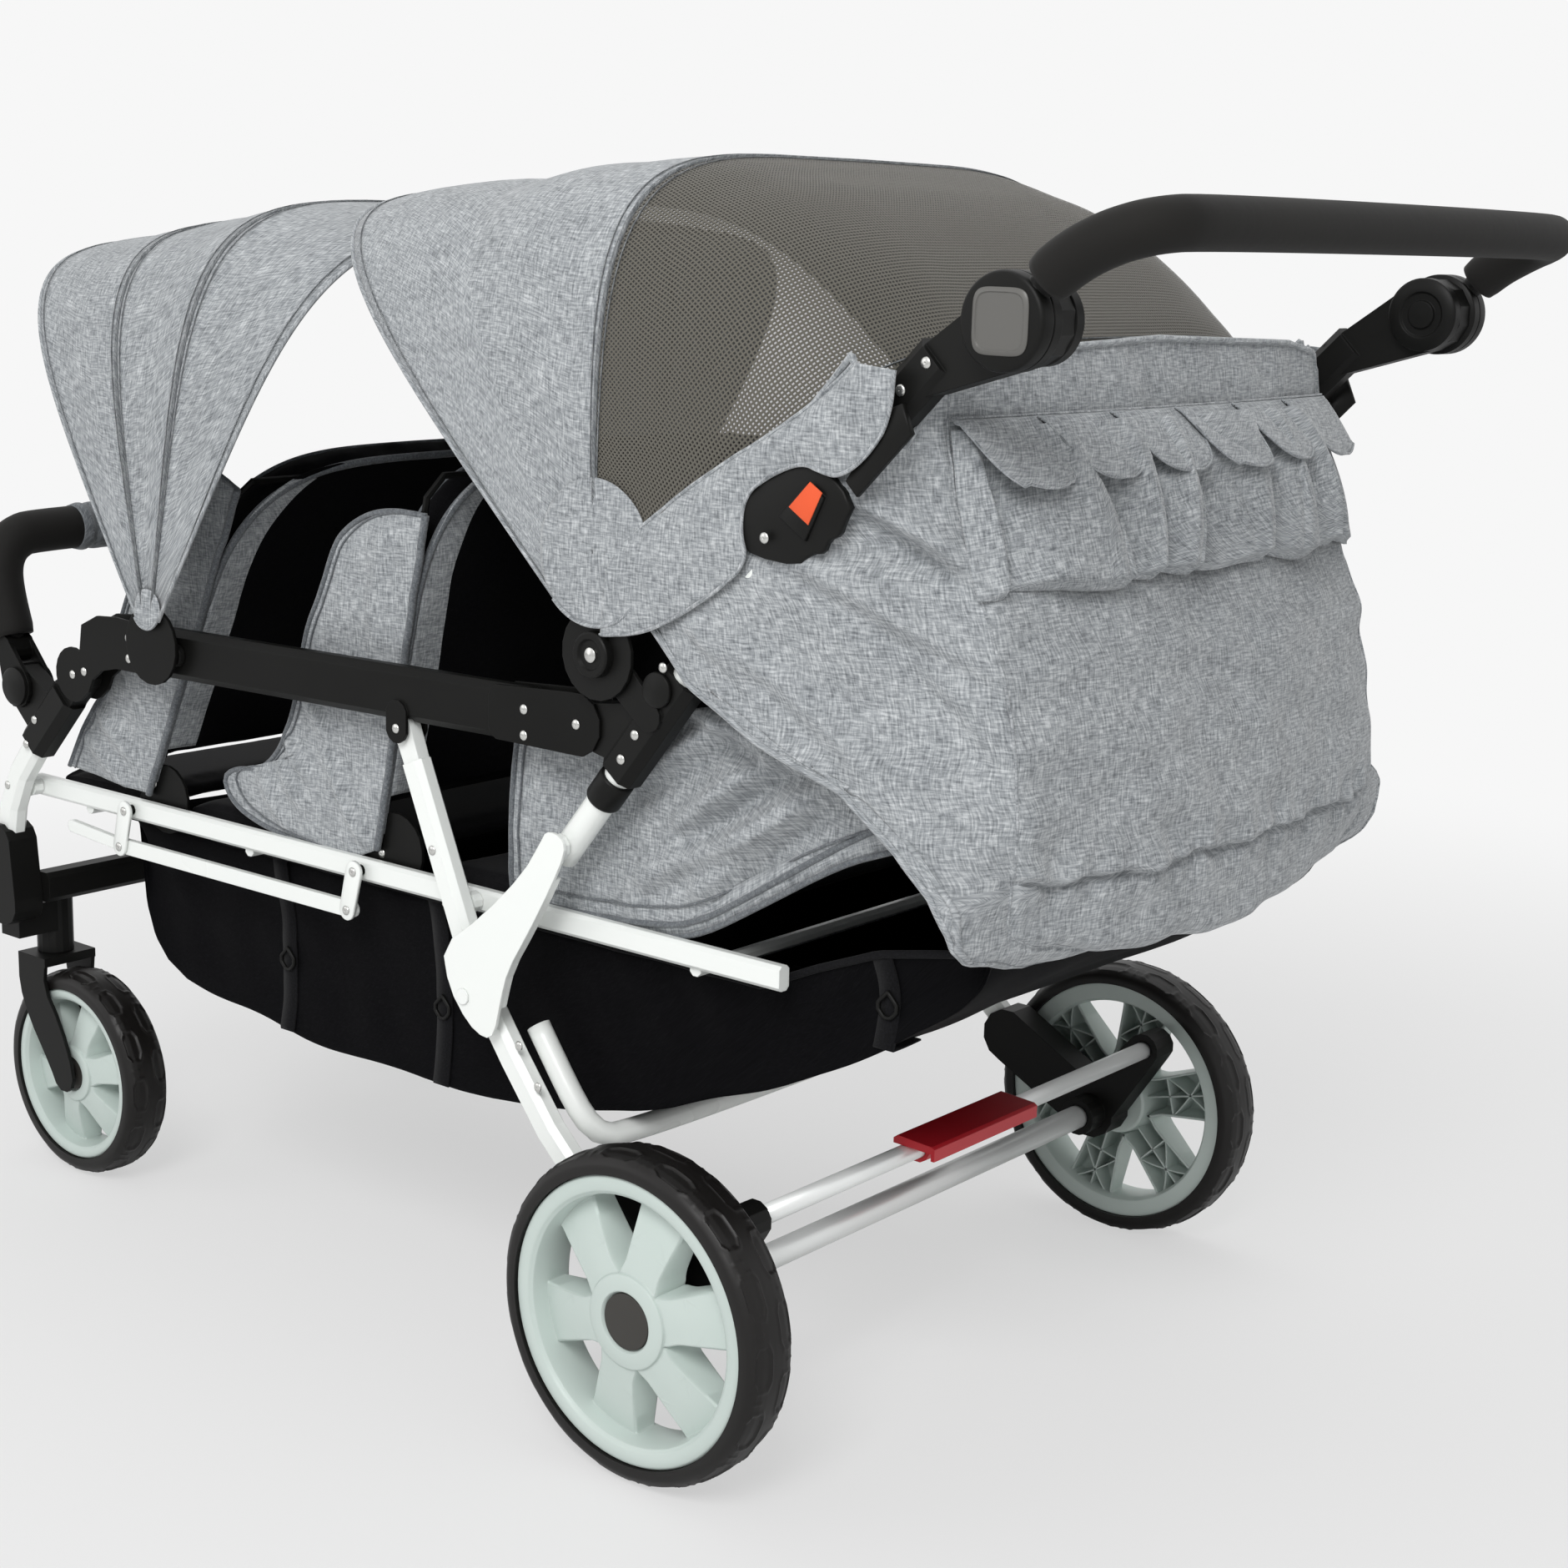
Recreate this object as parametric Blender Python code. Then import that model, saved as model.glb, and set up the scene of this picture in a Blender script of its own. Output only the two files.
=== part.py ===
# Folding six-seat stroller in metres, +Z up, front towards -Y, left side at +X.
# Side points are (y, z) pairs measured from the foot of the rear axle. AXLE_Y then moves every piece, so that the
# origin lies on the floor under the middle of the whole object.

import math

import bmesh
import bpy
from mathutils import Matrix, Vector

# Whole object
AXLE_Y = 0.2765
FRAME_X = 0.300
GAP = 0.0003
SIDES = 10

# Wheels
REAR_AXLE = (0.0, 0.134)
REAR_WHEEL_X = FRAME_X + 0.050
REAR_RADIUS = 0.134
REAR_WIDTH = 0.050
FRONT_AXLE = (-0.856, 0.105)
FRONT_WHEEL_X = FRAME_X - 0.0525
FRONT_RADIUS = 0.105
FRONT_WIDTH = 0.047
TYRE_DEPTH = 0.0175
RIM_DEPTH = 0.013
SPOKES = 6
STUB_RADIUS = 0.006
BORE_CLEARANCE = 0.0007

# Fold linkage, all in the side plane
RAIL_LEG_PIVOT = (-0.321, 0.543)
RAIL_PUSH_PIVOT = (-0.115, 0.576)
PUSH_LINK_PIVOT = (-0.130, 0.476)
LINK_LEG_PIVOT = (-0.230, 0.334)
FRONT_LEG_PIVOT = (-0.768, 0.530)
SEAT_REAR_PIVOT = (-0.258, 0.402)
SEAT_FRONT_PIVOT = (-0.874, 0.402)
PIN_RADIUS = 0.0035
PIN_BORE = 0.0042

# Frame layers from the middle outwards
TUBE_WIDTH = 0.020
TONGUE_WIDTH = 0.0186
TONGUE_NARROW = 0.012
CHEEK = 0.0028
SLEEVE_WIDTH = 0.0274
RAIL_HEIGHT = 0.045
RAIL_START = -0.690
RAIL_END = -0.135
END_CHAMFER = 0.036
LEG_DEPTH = 0.024
FRONT_LEG_DEPTH = 0.026
PUSH_RADIUS = 0.012
LINK_INNER_X = FRAME_X + 0.0195
LINK_THICK = 0.003
LINK_FLANGE = 0.007

# Seat frame
SEAT_TUBE_X = FRAME_X - 0.025
SEAT_TUBE_WIDTH = 0.012
SEAT_TUBE_HEIGHT = 0.020
SEAT_LEVEL = 0.402
SEAT_CROSS_RADIUS = 0.006
SEAT_CROSS_LEVEL = 0.3905
SEAT_CROSS_AT = (-0.800, -0.560, -0.300, -0.020)
BASE_BOTTOM = 0.3968
BASE_THICK = 0.016
BASES = ((-0.880, -0.735), (-0.680, -0.415), (-0.345, -0.075))
PAD_CLEARANCE = 0.009
PAD_HALF_WIDTH = SEAT_TUBE_X - SEAT_TUBE_WIDTH / 2 - PAD_CLEARANCE
PAD_THICK = 0.024
BACK_3 = ((-0.0235, 0.440), (0.2175, 0.725))
BACK_3_THICK = 0.016
BACK_3_STRAP = ((0.165, 0.676), 0.295)
STRAP_X = PAD_HALF_WIDTH + 0.0145
BACK_CORNER = 0.095
ROW_HINGES = ((-0.725, SEAT_LEVEL), (-0.401, SEAT_LEVEL))
ROW_ANGLES = (65.0, 78.0)
ROW_LENGTH = 0.365
ARM = (-0.009, -0.036)
PLATE_X = PAD_HALF_WIDTH + 0.004
PLATE_THICK = 0.003
ARM_X = FRAME_X - 0.012
ARM_THICK = 0.0025
BAR_X = ARM_X - 0.0063
WING_X = PLATE_X + PLATE_THICK + 0.0018
WING_THICK = 0.0028
BAR_THICK = 0.0055

# Hoods
HOOD_HALF_WIDTH = FRAME_X + 0.025
CLOTH = 0.0025
HOOD_START = 0.030
BOW_SOCKET_X = HOOD_HALF_WIDTH - 0.0057
BOW_SOCKET_RADIUS = 0.036
FRONT_HOOD_HINGE = (-0.635, 0.575)
FRONT_HOOD_BOWS = (122.0, 100.0, 79.0, 57.0)
FRONT_HOOD_RADII = ((57.0, 0.448), (79.0, 0.403), (100.0, 0.380), (122.0, 0.416))
FRONT_HOOD_POWER = 5.5
REAR_HOOD_HINGE = (-0.085, 0.636)
REAR_HOOD_BOWS = (137.0, 91.0, 45.0)
REAR_HOOD_RADII = ((45.0, 0.335), (64.0, 0.352), (78.0, 0.366), (91.0, 0.376), (104.0, 0.388), (120.0, 0.414),
                   (137.0, 0.500))
REAR_HOOD_POWER = 5.0

# Handle and bumper
HANDLE_PIVOT = (0.280, 0.900)
HANDLE_HUB_RADIUS = 0.033
GRIP_CLEARANCE = 0.004
BUMPER_PIVOT = (-0.858, 0.507)
BUMPER_HUB_RADIUS = 0.021

# Casters and brake
FRONT_TRAIL = 0.049
SWIVEL_Y = FRONT_AXLE[0] - FRONT_TRAIL
HOUSING_FOOT = (-0.892, 0.285)
FORK_CLEARANCE = 0.0025
CROWN_BOTTOM = FRONT_AXLE[1] + FRONT_RADIUS + FORK_CLEARANCE
CROWN_THICK = 0.009
BOSS_BOTTOM = CROWN_BOTTOM + CROWN_THICK + 0.0005
BRAKE_AXIS = (0.055, 0.208)
BRAKE_RADIUS = 0.008
PEDAL_ENDS = (-0.055, 0.096)
PEDAL_REACH = 0.033
PEDAL_THICK = 0.0075
PEDAL_CLIP = 0.018

FINISHES = {
    "white_paint": ((0.86, 0.87, 0.85), 0.32, 0.0),
    "black_paint": ((0.015, 0.015, 0.014), 0.45, 0.0),
    "black_plastic": ((0.018, 0.018, 0.018), 0.55, 0.0),
    "grey_plastic": ((0.60, 0.66, 0.64), 0.40, 0.0),
    "red_plastic": ((0.55, 0.03, 0.04), 0.40, 0.0),
    "rubber": ((0.020, 0.019, 0.018), 0.80, 0.0),
    "foam": ((0.014, 0.014, 0.014), 0.90, 0.0),
    "grey_fabric": ((0.27, 0.30, 0.32), 0.95, 0.0),
    "black_fabric": ((0.010, 0.010, 0.011), 0.95, 0.0),
    "mesh_fabric": ((0.14, 0.13, 0.11), 0.90, 0.0),
}

for item in list(bpy.data.objects):
    bpy.data.objects.remove(item, do_unlink=True)

scene = bpy.context.scene
product = bpy.data.collections.new("six_seat_stroller")
tools = bpy.data.collections.new("cutters")
scene.collection.children.link(product)
scene.collection.children.link(tools)


# Shapes: each function gives a closed mesh object, still in side coordinates and in the tools collection.

def solid(points, faces):
    mesh = bpy.data.meshes.new("shape")
    mesh.from_pydata([tuple(p) for p in points], [], faces)
    shape = bpy.data.objects.new("shape", mesh)
    shape.display_type = "WIRE"
    tools.objects.link(shape)
    clean(mesh)
    return shape


def clean(mesh):
    work = bmesh.new()
    work.from_mesh(mesh)
    bmesh.ops.remove_doubles(work, verts=work.verts, dist=1e-6)
    bmesh.ops.recalc_face_normals(work, faces=work.faces)
    work.to_mesh(mesh)
    work.free()


def combine(base, others, operation):
    for other in others:
        step = base.modifiers.new("combine", "BOOLEAN")
        step.operation = operation
        step.solver = "EXACT"
        step.object = other
    bpy.context.view_layer.update()
    graph = bpy.context.evaluated_depsgraph_get()
    result = bpy.data.meshes.new_from_object(base.evaluated_get(graph))
    base.modifiers.clear()
    base.data = result
    for other in others:
        bpy.data.objects.remove(other, do_unlink=True)
    clean(result)
    return base


def fuse(base, *others):
    return combine(base, others, "UNION")


def cut(base, *others):
    return combine(base, others, "DIFFERENCE")


def ring_points(centre, radius, sides=SIDES):
    turns = [2 * math.pi * (i + 0.5) / sides for i in range(sides)]
    return [(centre[0] + radius * math.cos(t), centre[1] + radius * math.sin(t)) for t in turns]


def hull(discs, sides=12):
    """Outline of a belt drawn round discs of (y, z, radius)."""
    points = sorted({p for y, z, radius in discs for p in ring_points((y, z), radius, sides)})
    def chain(row):
        kept = []
        for p in row:
            while len(kept) > 1 and turn_of(kept[-2], kept[-1], p) <= 1e-9:
                kept.pop()
            kept.append(p)
        return kept[:-1]
    return chain(points) + chain(points[::-1])


def turn_of(a, b, c):
    return (b[0] - a[0]) * (c[1] - a[1]) - (b[1] - a[1]) * (c[0] - a[0])


def inset(outline, distance):
    """The outline moved inwards, edge by edge. It runs anticlockwise."""
    count = len(outline)
    moved = []
    for i in range(count):
        a, b, c = outline[i - 1], outline[i], outline[(i + 1) % count]
        first = Vector((b[0] - a[0], b[1] - a[1])).normalized()
        second = Vector((c[0] - b[0], c[1] - b[1])).normalized()
        normal = Vector((-first.y - second.y, first.x + second.x))
        reach = distance / (1 + first.dot(second))
        moved.append((b[0] + normal.x * reach, b[1] + normal.y * reach))
    return moved


def smooth(outline, rounds=1):
    """The closed outline with each corner cut at a quarter of its sides."""
    for _ in range(rounds):
        cuts = []
        for a, b in zip(outline, outline[1:] + outline[:1]):
            cuts += [(0.75 * a[0] + 0.25 * b[0], 0.75 * a[1] + 0.25 * b[1]),
                     (0.25 * a[0] + 0.75 * b[0], 0.25 * a[1] + 0.75 * b[1])]
        outline = cuts
    return outline


def plate(outline, x0, x1):
    count = len(outline)
    points = [(x0, y, z) for y, z in outline] + [(x1, y, z) for y, z in outline]
    faces = [(i, (i + 1) % count, count + (i + 1) % count, count + i) for i in range(count)]
    faces += [tuple(range(count - 1, -1, -1)), tuple(range(count, 2 * count))]
    return solid(points, faces)


def rod(centre, radius, x0, x1, sides=SIDES):
    return plate(ring_points(centre, radius, sides), x0, x1)


def upright(x, y, radius, z0, z1, sides=16):
    ring = ring_points((x, y), radius, sides)
    points = [(a, b, z0) for a, b in ring] + [(a, b, z1) for a, b in ring]
    faces = [(i, (i + 1) % sides, sides + (i + 1) % sides, sides + i) for i in range(sides)]
    faces += [tuple(range(sides - 1, -1, -1)), tuple(range(sides, 2 * sides))]
    return solid(points, faces)


def block(x0, x1, y0, y1, z0, z1):
    return plate([(y0, z0), (y1, z0), (y1, z1), (y0, z1)], x0, x1)


def round_section(radius, sides=SIDES):
    return ring_points((0, 0), radius, sides)


def box_section(width, height, corner=0.005):
    a, b = width / 2, height / 2
    c, d = a - corner, b - corner
    quarter = [(a, d), (c, b)]
    signs = [(1, 1), (-1, 1), (-1, -1), (1, -1)]
    section = []
    for i, (p, q) in enumerate(signs):
        corner_points = [(p * u, q * v) for u, v in quarter]
        section += corner_points if i % 2 == 0 else corner_points[::-1]
    return section


def rings_along(path, section, side=(1, 0, 0)):
    """The section carried along the path, with a mitre at every bend."""
    points = [Vector(p) for p in path]
    steps = [(b - a).normalized() for a, b in zip(points, points[1:])]
    u = Vector(side)
    u = (u - u.dot(steps[0]) * steps[0]).normalized()
    rings = []
    for i, point in enumerate(points):
        before = steps[max(i - 1, 0)]
        after = steps[min(i, len(steps) - 1)]
        mitre = (before + after).normalized()
        v = before.cross(u)
        ring = []
        for a, b in section:
            offset = a * u + b * v
            ring.append(point + offset - before * (offset.dot(mitre) / before.dot(mitre)))
        rings.append(ring)
        u = before.rotation_difference(after) @ u
    return rings


def skin(rings, closed_loop=False):
    count = len(rings[0])
    points = [p for ring in rings for p in ring]
    faces = []
    last = len(rings) if closed_loop else len(rings) - 1
    for k in range(last):
        here = k * count
        there = (k + 1) % len(rings) * count
        for i in range(count):
            j = (i + 1) % count
            faces.append((here + i, here + j, there + j, there + i))
    if not closed_loop:
        faces.append(tuple(range(count - 1, -1, -1)))
        faces.append(tuple(range((len(rings) - 1) * count, len(rings) * count)))
    return solid(points, faces)


def sweep(path, section, side=(1, 0, 0)):
    return skin(rings_along(path, section, side))


def sleeve(path, outer, inner, sides=SIDES):
    outside = rings_along(path, round_section(outer, sides))
    inside = rings_along(path, round_section(inner, sides))
    return skin(outside + inside[::-1], closed_loop=True)


def turned(profile, centre, steps):
    """A closed profile of (x, radius) points turned about the X line through the centre."""
    rings = []
    for k in range(steps):
        angle = 2 * math.pi * k / steps
        c, s = math.cos(angle), math.sin(angle)
        rings.append([(x, centre[0] + r * c, centre[1] + r * s) for x, r in profile])
    return skin(rings, closed_loop=True)


def shell(outside, inside):
    """Two grids of the same size, joined round their edges."""
    rows, columns = len(outside), len(outside[0])
    points = [p for row in outside for p in row] + [p for row in inside for p in row]
    half = rows * columns
    faces = []
    for i in range(rows - 1):
        for j in range(columns - 1):
            a = i * columns + j
            corners = (a, a + 1, a + columns + 1, a + columns)
            faces.append(corners)
            faces.append(tuple(half + c for c in reversed(corners)))
    top = [j for j in range(columns)]
    right = [i * columns + columns - 1 for i in range(rows)]
    bottom = [(rows - 1) * columns + j for j in range(columns - 1, -1, -1)]
    left = [i * columns for i in range(rows - 1, -1, -1)]
    for line in (top, right, bottom, left):
        for a, b in zip(line, line[1:]):
            faces.append((a, half + a, half + b, b))
    return solid(points, faces)


def mirrored(shape):
    copy = bpy.data.objects.new("shape", shape.data.copy())
    tools.objects.link(copy)
    copy.data.transform(Matrix.Diagonal((-1, 1, 1, 1)))
    clean(copy.data)
    return copy


def place(name, shape, finish, pivot=(0, 0, 0)):
    """Names the shape, gives it a material of its own and puts its origin on the pivot."""
    shape.name = name
    shape.data.name = name
    tools.objects.unlink(shape)
    product.objects.link(shape)
    shape.display_type = "TEXTURED"
    shape.data.transform(Matrix.Translation((-pivot[0], -pivot[1], -pivot[2])))
    shape.location = (pivot[0], pivot[1] + AXLE_Y, pivot[2])
    colour, roughness, metallic = FINISHES[finish]
    material = bpy.data.materials.new(name + "_" + finish)
    material.use_nodes = True
    surface = material.node_tree.nodes["Principled BSDF"]
    surface.inputs["Base Color"].default_value = (*colour, 1)
    surface.inputs["Roughness"].default_value = roughness
    surface.inputs["Metallic"].default_value = metallic
    shape.data.materials.clear()
    shape.data.materials.append(material)
    shape.data.shade_smooth()
    shape.data.set_sharp_from_angle(angle=math.radians(32))
    return shape


def place_pair(name, shape, finish, pivot=(0, 0, 0)):
    other = mirrored(shape)
    place(name + "_left", shape, finish, pivot)
    place(name + "_right", other, finish, (-pivot[0], pivot[1], pivot[2]))


def across(path):
    """A path given for the left half, run on to its mirror image."""
    return path + [(-x, y, z) for x, y, z in reversed(path)]


def at(point, direction, distance):
    return (point[0] + direction[0] * distance, point[1] + direction[1] * distance)


def towards(a, b):
    length = math.hypot(b[0] - a[0], b[1] - a[1])
    return ((b[0] - a[0]) / length, (b[1] - a[1]) / length)


def in_plane(points, x=FRAME_X):
    return [(x, y, z) for y, z in points]


def axis_of(pivot, x=0.0):
    return (x, pivot[0], pivot[1])


CHEEK_OUT = FRAME_X + TUBE_WIDTH / 2 - 0.0005
CHEEK_IN = FRAME_X - TUBE_WIDTH / 2 + 0.0005
TONGUE = (FRAME_X - TONGUE_WIDTH / 2, FRAME_X + TONGUE_WIDTH / 2)


def cheeks(outline):
    """A pair of stamped plates, one on each face of the rail."""
    outer = plate(outline, CHEEK_OUT, CHEEK_OUT + CHEEK)
    inner = plate(outline, CHEEK_IN - CHEEK, CHEEK_IN)
    return outer, inner


def pin(pivot, x0=None, x1=None, radius=PIN_RADIUS):
    start = CHEEK_IN - CHEEK + 0.0002 if x0 is None else x0
    end = CHEEK_OUT + CHEEK - 0.0002 if x1 is None else x1
    return rod(pivot, radius, start, end)


def pin_bore(pivot, radius=PIN_BORE, x0=0.2, x1=0.4):
    return rod(pivot, radius, x0, x1)


# Side rails: tube, hooked front plates, rear bracket plates, leg ears and the hood hub

def rail_level(y):
    return 0.567 + (y + 0.604) * 0.0168


def bow_socket(hinge):
    """The disc inside a hood's lower corner that its bows plug into."""
    return rod(hinge, BOW_SOCKET_RADIUS, BOW_SOCKET_X - 0.0003, HOOD_HALF_WIDTH - CLOTH - GAP, 20)


def build_rails():
    ends = [(RAIL_START, rail_level(RAIL_START)), (RAIL_END, rail_level(RAIL_END))]
    rail = sweep(in_plane(ends), box_section(TUBE_WIDTH, RAIL_HEIGHT, 0.006))
    end_y, top = RAIL_END, rail_level(RAIL_END) + RAIL_HEIGHT / 2
    swing = [(end_y - END_CHAMFER, top), (end_y, top - END_CHAMFER), (end_y + 0.01, top - END_CHAMFER),
             (end_y + 0.01, top + 0.01), (end_y - END_CHAMFER, top + 0.01)]
    rail = cut(rail, plate(swing[::-1], FRAME_X - TUBE_WIDTH, FRAME_X + TUBE_WIDTH))
    tip = [p for p in ring_points(FRONT_LEG_PIVOT, 0.026, 20) if p[0] < FRONT_LEG_PIVOT[0] + 0.012]
    tip.sort(key=lambda p: math.atan2(p[1] - FRONT_LEG_PIVOT[1], FRONT_LEG_PIVOT[0] - p[0]))
    hook = [(-0.655, 0.5440), (-0.655, 0.5895), (-0.700, 0.5920), (-0.728, 0.5900), (-0.752, 0.5790)]
    hook += tip[::-1]
    hook += [(-0.7440, 0.5160), (-0.7370, 0.5290), (-0.7230, 0.5390), (-0.7000, 0.5440)]
    rear = hull([(-0.200, rail_level(-0.200) + 0.010, 0.0125), (-0.200, rail_level(-0.200) - 0.010, 0.0125),
                 (*RAIL_PUSH_PIVOT, 0.0255)])
    ear = hull([(*RAIL_LEG_PIVOT, 0.0125), (RAIL_LEG_PIVOT[0], RAIL_LEG_PIVOT[1] + 0.012, 0.0125)])
    pieces = [part for outline in (hook, rear, ear) for part in cheeks(outline)]
    pieces += [pin(p) for p in (FRONT_LEG_PIVOT, RAIL_PUSH_PIVOT)]
    pieces.append(rod(FRONT_HOOD_HINGE, 0.018, CHEEK_OUT, BOW_SOCKET_X, 16))
    pieces.append(bow_socket(FRONT_HOOD_HINGE))
    rail = fuse(rail, *pieces)
    slot = block(FRAME_X - TONGUE_NARROW / 2 - 0.0005, FRAME_X + TONGUE_NARROW / 2 + 0.0005,
                 RAIL_LEG_PIVOT[0] - 0.0135, RAIL_LEG_PIVOT[0] + 0.0135, 0.520, RAIL_LEG_PIVOT[1] + 0.0135)
    rail = cut(rail, slot)
    rail = fuse(rail, pin(RAIL_LEG_PIVOT))
    place_pair("rail", rail, "black_paint", axis_of(RAIL_PUSH_PIVOT, FRAME_X))


# Push frame: two tubes, hinge blocks and handle brackets

PUSH_BEND = (0.090, 0.752)
PUSH_TOP = (0.2085, 0.8705)
PUSH_LOW = towards(PUSH_LINK_PIVOT, PUSH_BEND)
PUSH_HIGH = towards(PUSH_BEND, PUSH_TOP)
COVER_STUD_AT = 0.305


def push_path(extra=0.0):
    start = at(PUSH_LINK_PIVOT, PUSH_LOW, -0.014 - extra)
    return in_plane([start, PUSH_BEND, at(PUSH_TOP, PUSH_HIGH, extra)])


def push_bore():
    return sweep(push_path(0.0005), round_section(PUSH_RADIUS + GAP * 1.2, 16))


def build_push_tubes():
    tube = sweep(push_path(), round_section(PUSH_RADIUS, 16))
    stud = rod(at(PUSH_LINK_PIVOT, PUSH_LOW, COVER_STUD_AT), 0.006, FRAME_X, COVER_X - CLOTH - GAP)
    place_pair("push_tube", fuse(tube, stud), "white_paint", axis_of(RAIL_PUSH_PIVOT, FRAME_X))


def build_hinge_blocks():
    low, high = at(PUSH_LINK_PIVOT, PUSH_LOW, 0.085), at(PUSH_LINK_PIVOT, PUSH_LOW, 0.190)
    near = at(PUSH_LINK_PIVOT, PUSH_LOW, 0.110)
    mid = at(PUSH_LINK_PIVOT, PUSH_LOW, 0.150)
    body = sweep(in_plane([low, high]), box_section(SLEEVE_WIDTH, 0.034, 0.007))
    tongue = plate(hull([(*RAIL_PUSH_PIVOT, 0.016), (*near, 0.014), (*mid, 0.010)]), *TONGUE)
    arm_x = FRAME_X + SLEEVE_WIDTH / 2 - 0.001
    arm = plate(hull([(*REAR_HOOD_HINGE, 0.015), (*mid, 0.012)]), arm_x, arm_x + 0.0038)
    hub = rod(REAR_HOOD_HINGE, 0.0165, arm_x, BOW_SOCKET_X, 16)
    body = fuse(body, tongue, arm, hub, bow_socket(REAR_HOOD_HINGE))
    body = cut(body, push_bore(), pin_bore(RAIL_PUSH_PIVOT, x0=FRAME_X - 0.030, x1=FRAME_X + 0.012))
    place_pair("hinge_block", body, "black_plastic", axis_of(RAIL_PUSH_PIVOT, FRAME_X))


def build_handle_brackets():
    low, high = at(PUSH_TOP, PUSH_HIGH, -0.052), at(PUSH_TOP, PUSH_HIGH, 0.004)
    body = sweep(in_plane([low, high]), box_section(SLEEVE_WIDTH, 0.034, 0.007))
    neck = plate(hull([(*at(PUSH_TOP, PUSH_HIGH, -0.015), 0.015), (*HANDLE_PIVOT, 0.030)]), *TONGUE)
    body = fuse(body, neck)
    body = cut(body, push_bore(), pin_bore(HANDLE_PIVOT, 0.0090))
    place_pair("handle_bracket", body, "black_plastic", axis_of(HANDLE_PIVOT, FRAME_X))


# Handle: hubs and tube in one piece, with the foam sleeve over it

def handle_path():
    half = [(0.0225, 0.010, 0.011), (0.0225, 0.038, 0.0375), (0.019, 0.068, 0.054), (0.006, 0.094, 0.063),
            (-0.028, 0.110, 0.066)]
    return across([(FRAME_X + x, HANDLE_PIVOT[0] + y, HANDLE_PIVOT[1] + z) for x, y, z in half])


def build_handle():
    tube = sweep(handle_path(), round_section(0.009, 10))
    outer = rod(HANDLE_PIVOT, HANDLE_HUB_RADIUS, TONGUE[1] + GAP, FRAME_X + 0.0345, 20)
    shaft = rod(HANDLE_PIVOT, 0.0075, FRAME_X - 0.0140, FRAME_X + 0.0130)
    inner = rod(HANDLE_PIVOT, 0.016, FRAME_X - 0.0170, TONGUE[0] - GAP, 16)
    hubs = [outer, shaft, inner]
    hubs += [mirrored(piece) for piece in hubs]
    tube = fuse(tube, *hubs)
    place("handle_tube", tube, "black_plastic", axis_of(HANDLE_PIVOT))
    low, high = (Vector(p) for p in handle_path()[:2])
    hub = Vector((low.x, *HANDLE_PIVOT))
    start = hub + (high - hub).normalized() * (HANDLE_HUB_RADIUS + GRIP_CLEARANCE)
    path = [tuple(start)] + handle_path()[1:-1] + [(-start.x, start.y, start.z)]
    place("handle_grip", sleeve(path, 0.018, 0.0099, 10), "foam", axis_of(HANDLE_PIVOT))


# Rear frame: legs, cross tube, axle tube and wheel brackets

LEG_LINE = towards(RAIL_LEG_PIVOT, LINK_LEG_PIVOT)


def rear_leg_path(extra=0.0):
    end = (-0.060, 0.158)
    last = towards((-0.100, 0.186), end)
    points = [at(RAIL_LEG_PIVOT, LEG_LINE, 0.030), LINK_LEG_PIVOT, (-0.192, 0.2835), (-0.150, 0.2320),
              (-0.100, 0.186), at(end, last, extra)]
    return in_plane(points)


def build_rear_legs():
    leg = sweep(rear_leg_path(), box_section(TUBE_WIDTH, LEG_DEPTH))
    tongue = plate(hull([(*RAIL_LEG_PIVOT, 0.0108), (*at(RAIL_LEG_PIVOT, LEG_LINE, 0.034), 0.0095)]),
                   FRAME_X - TONGUE_NARROW / 2, FRAME_X + TONGUE_NARROW / 2)
    boss = rod(LINK_LEG_PIVOT, 0.012, FRAME_X + 0.0090, LINK_INNER_X - 0.0005, 16)
    shaft = rod(LINK_LEG_PIVOT, 0.004, FRAME_X + 0.0090, LINK_INNER_X + LINK_THICK + 0.0010)
    head = rod(LINK_LEG_PIVOT, 0.007, LINK_INNER_X + LINK_THICK + 0.0004, LINK_INNER_X + LINK_THICK + 0.0018)
    seat_boss = rod(SEAT_REAR_PIVOT, 0.009, SEAT_TUBE_X + SEAT_TUBE_WIDTH / 2 + 0.0005, FRAME_X - 0.0090)
    leg = fuse(leg, tongue, boss, shaft, head, seat_boss)
    leg = cut(leg, pin_bore(RAIL_LEG_PIVOT))
    place_pair("rear_leg", leg, "white_paint", axis_of(RAIL_LEG_PIVOT, FRAME_X))


AXLE_END = FRAME_X - 0.001
BAR_END = FRAME_X + 0.0025
BRACKET = (FRAME_X - 0.0160, FRAME_X + 0.0135)


def build_rear_cross_parts():
    half = [(-0.0203, -0.186, 0.3090), (-0.0203, -0.142, 0.2500), (-0.0260, -0.127, 0.2310),
            (-0.0440, -0.118, 0.2215)]
    half = [(FRAME_X + x, y, z) for x, y, z in half]
    place("rear_cross_tube", sweep(across(half), round_section(0.010)), "white_paint")
    axle = rod(REAR_AXLE, 0.011, -AXLE_END, AXLE_END, 16)
    place("axle_tube", axle, "white_paint", axis_of(REAR_AXLE))


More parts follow.
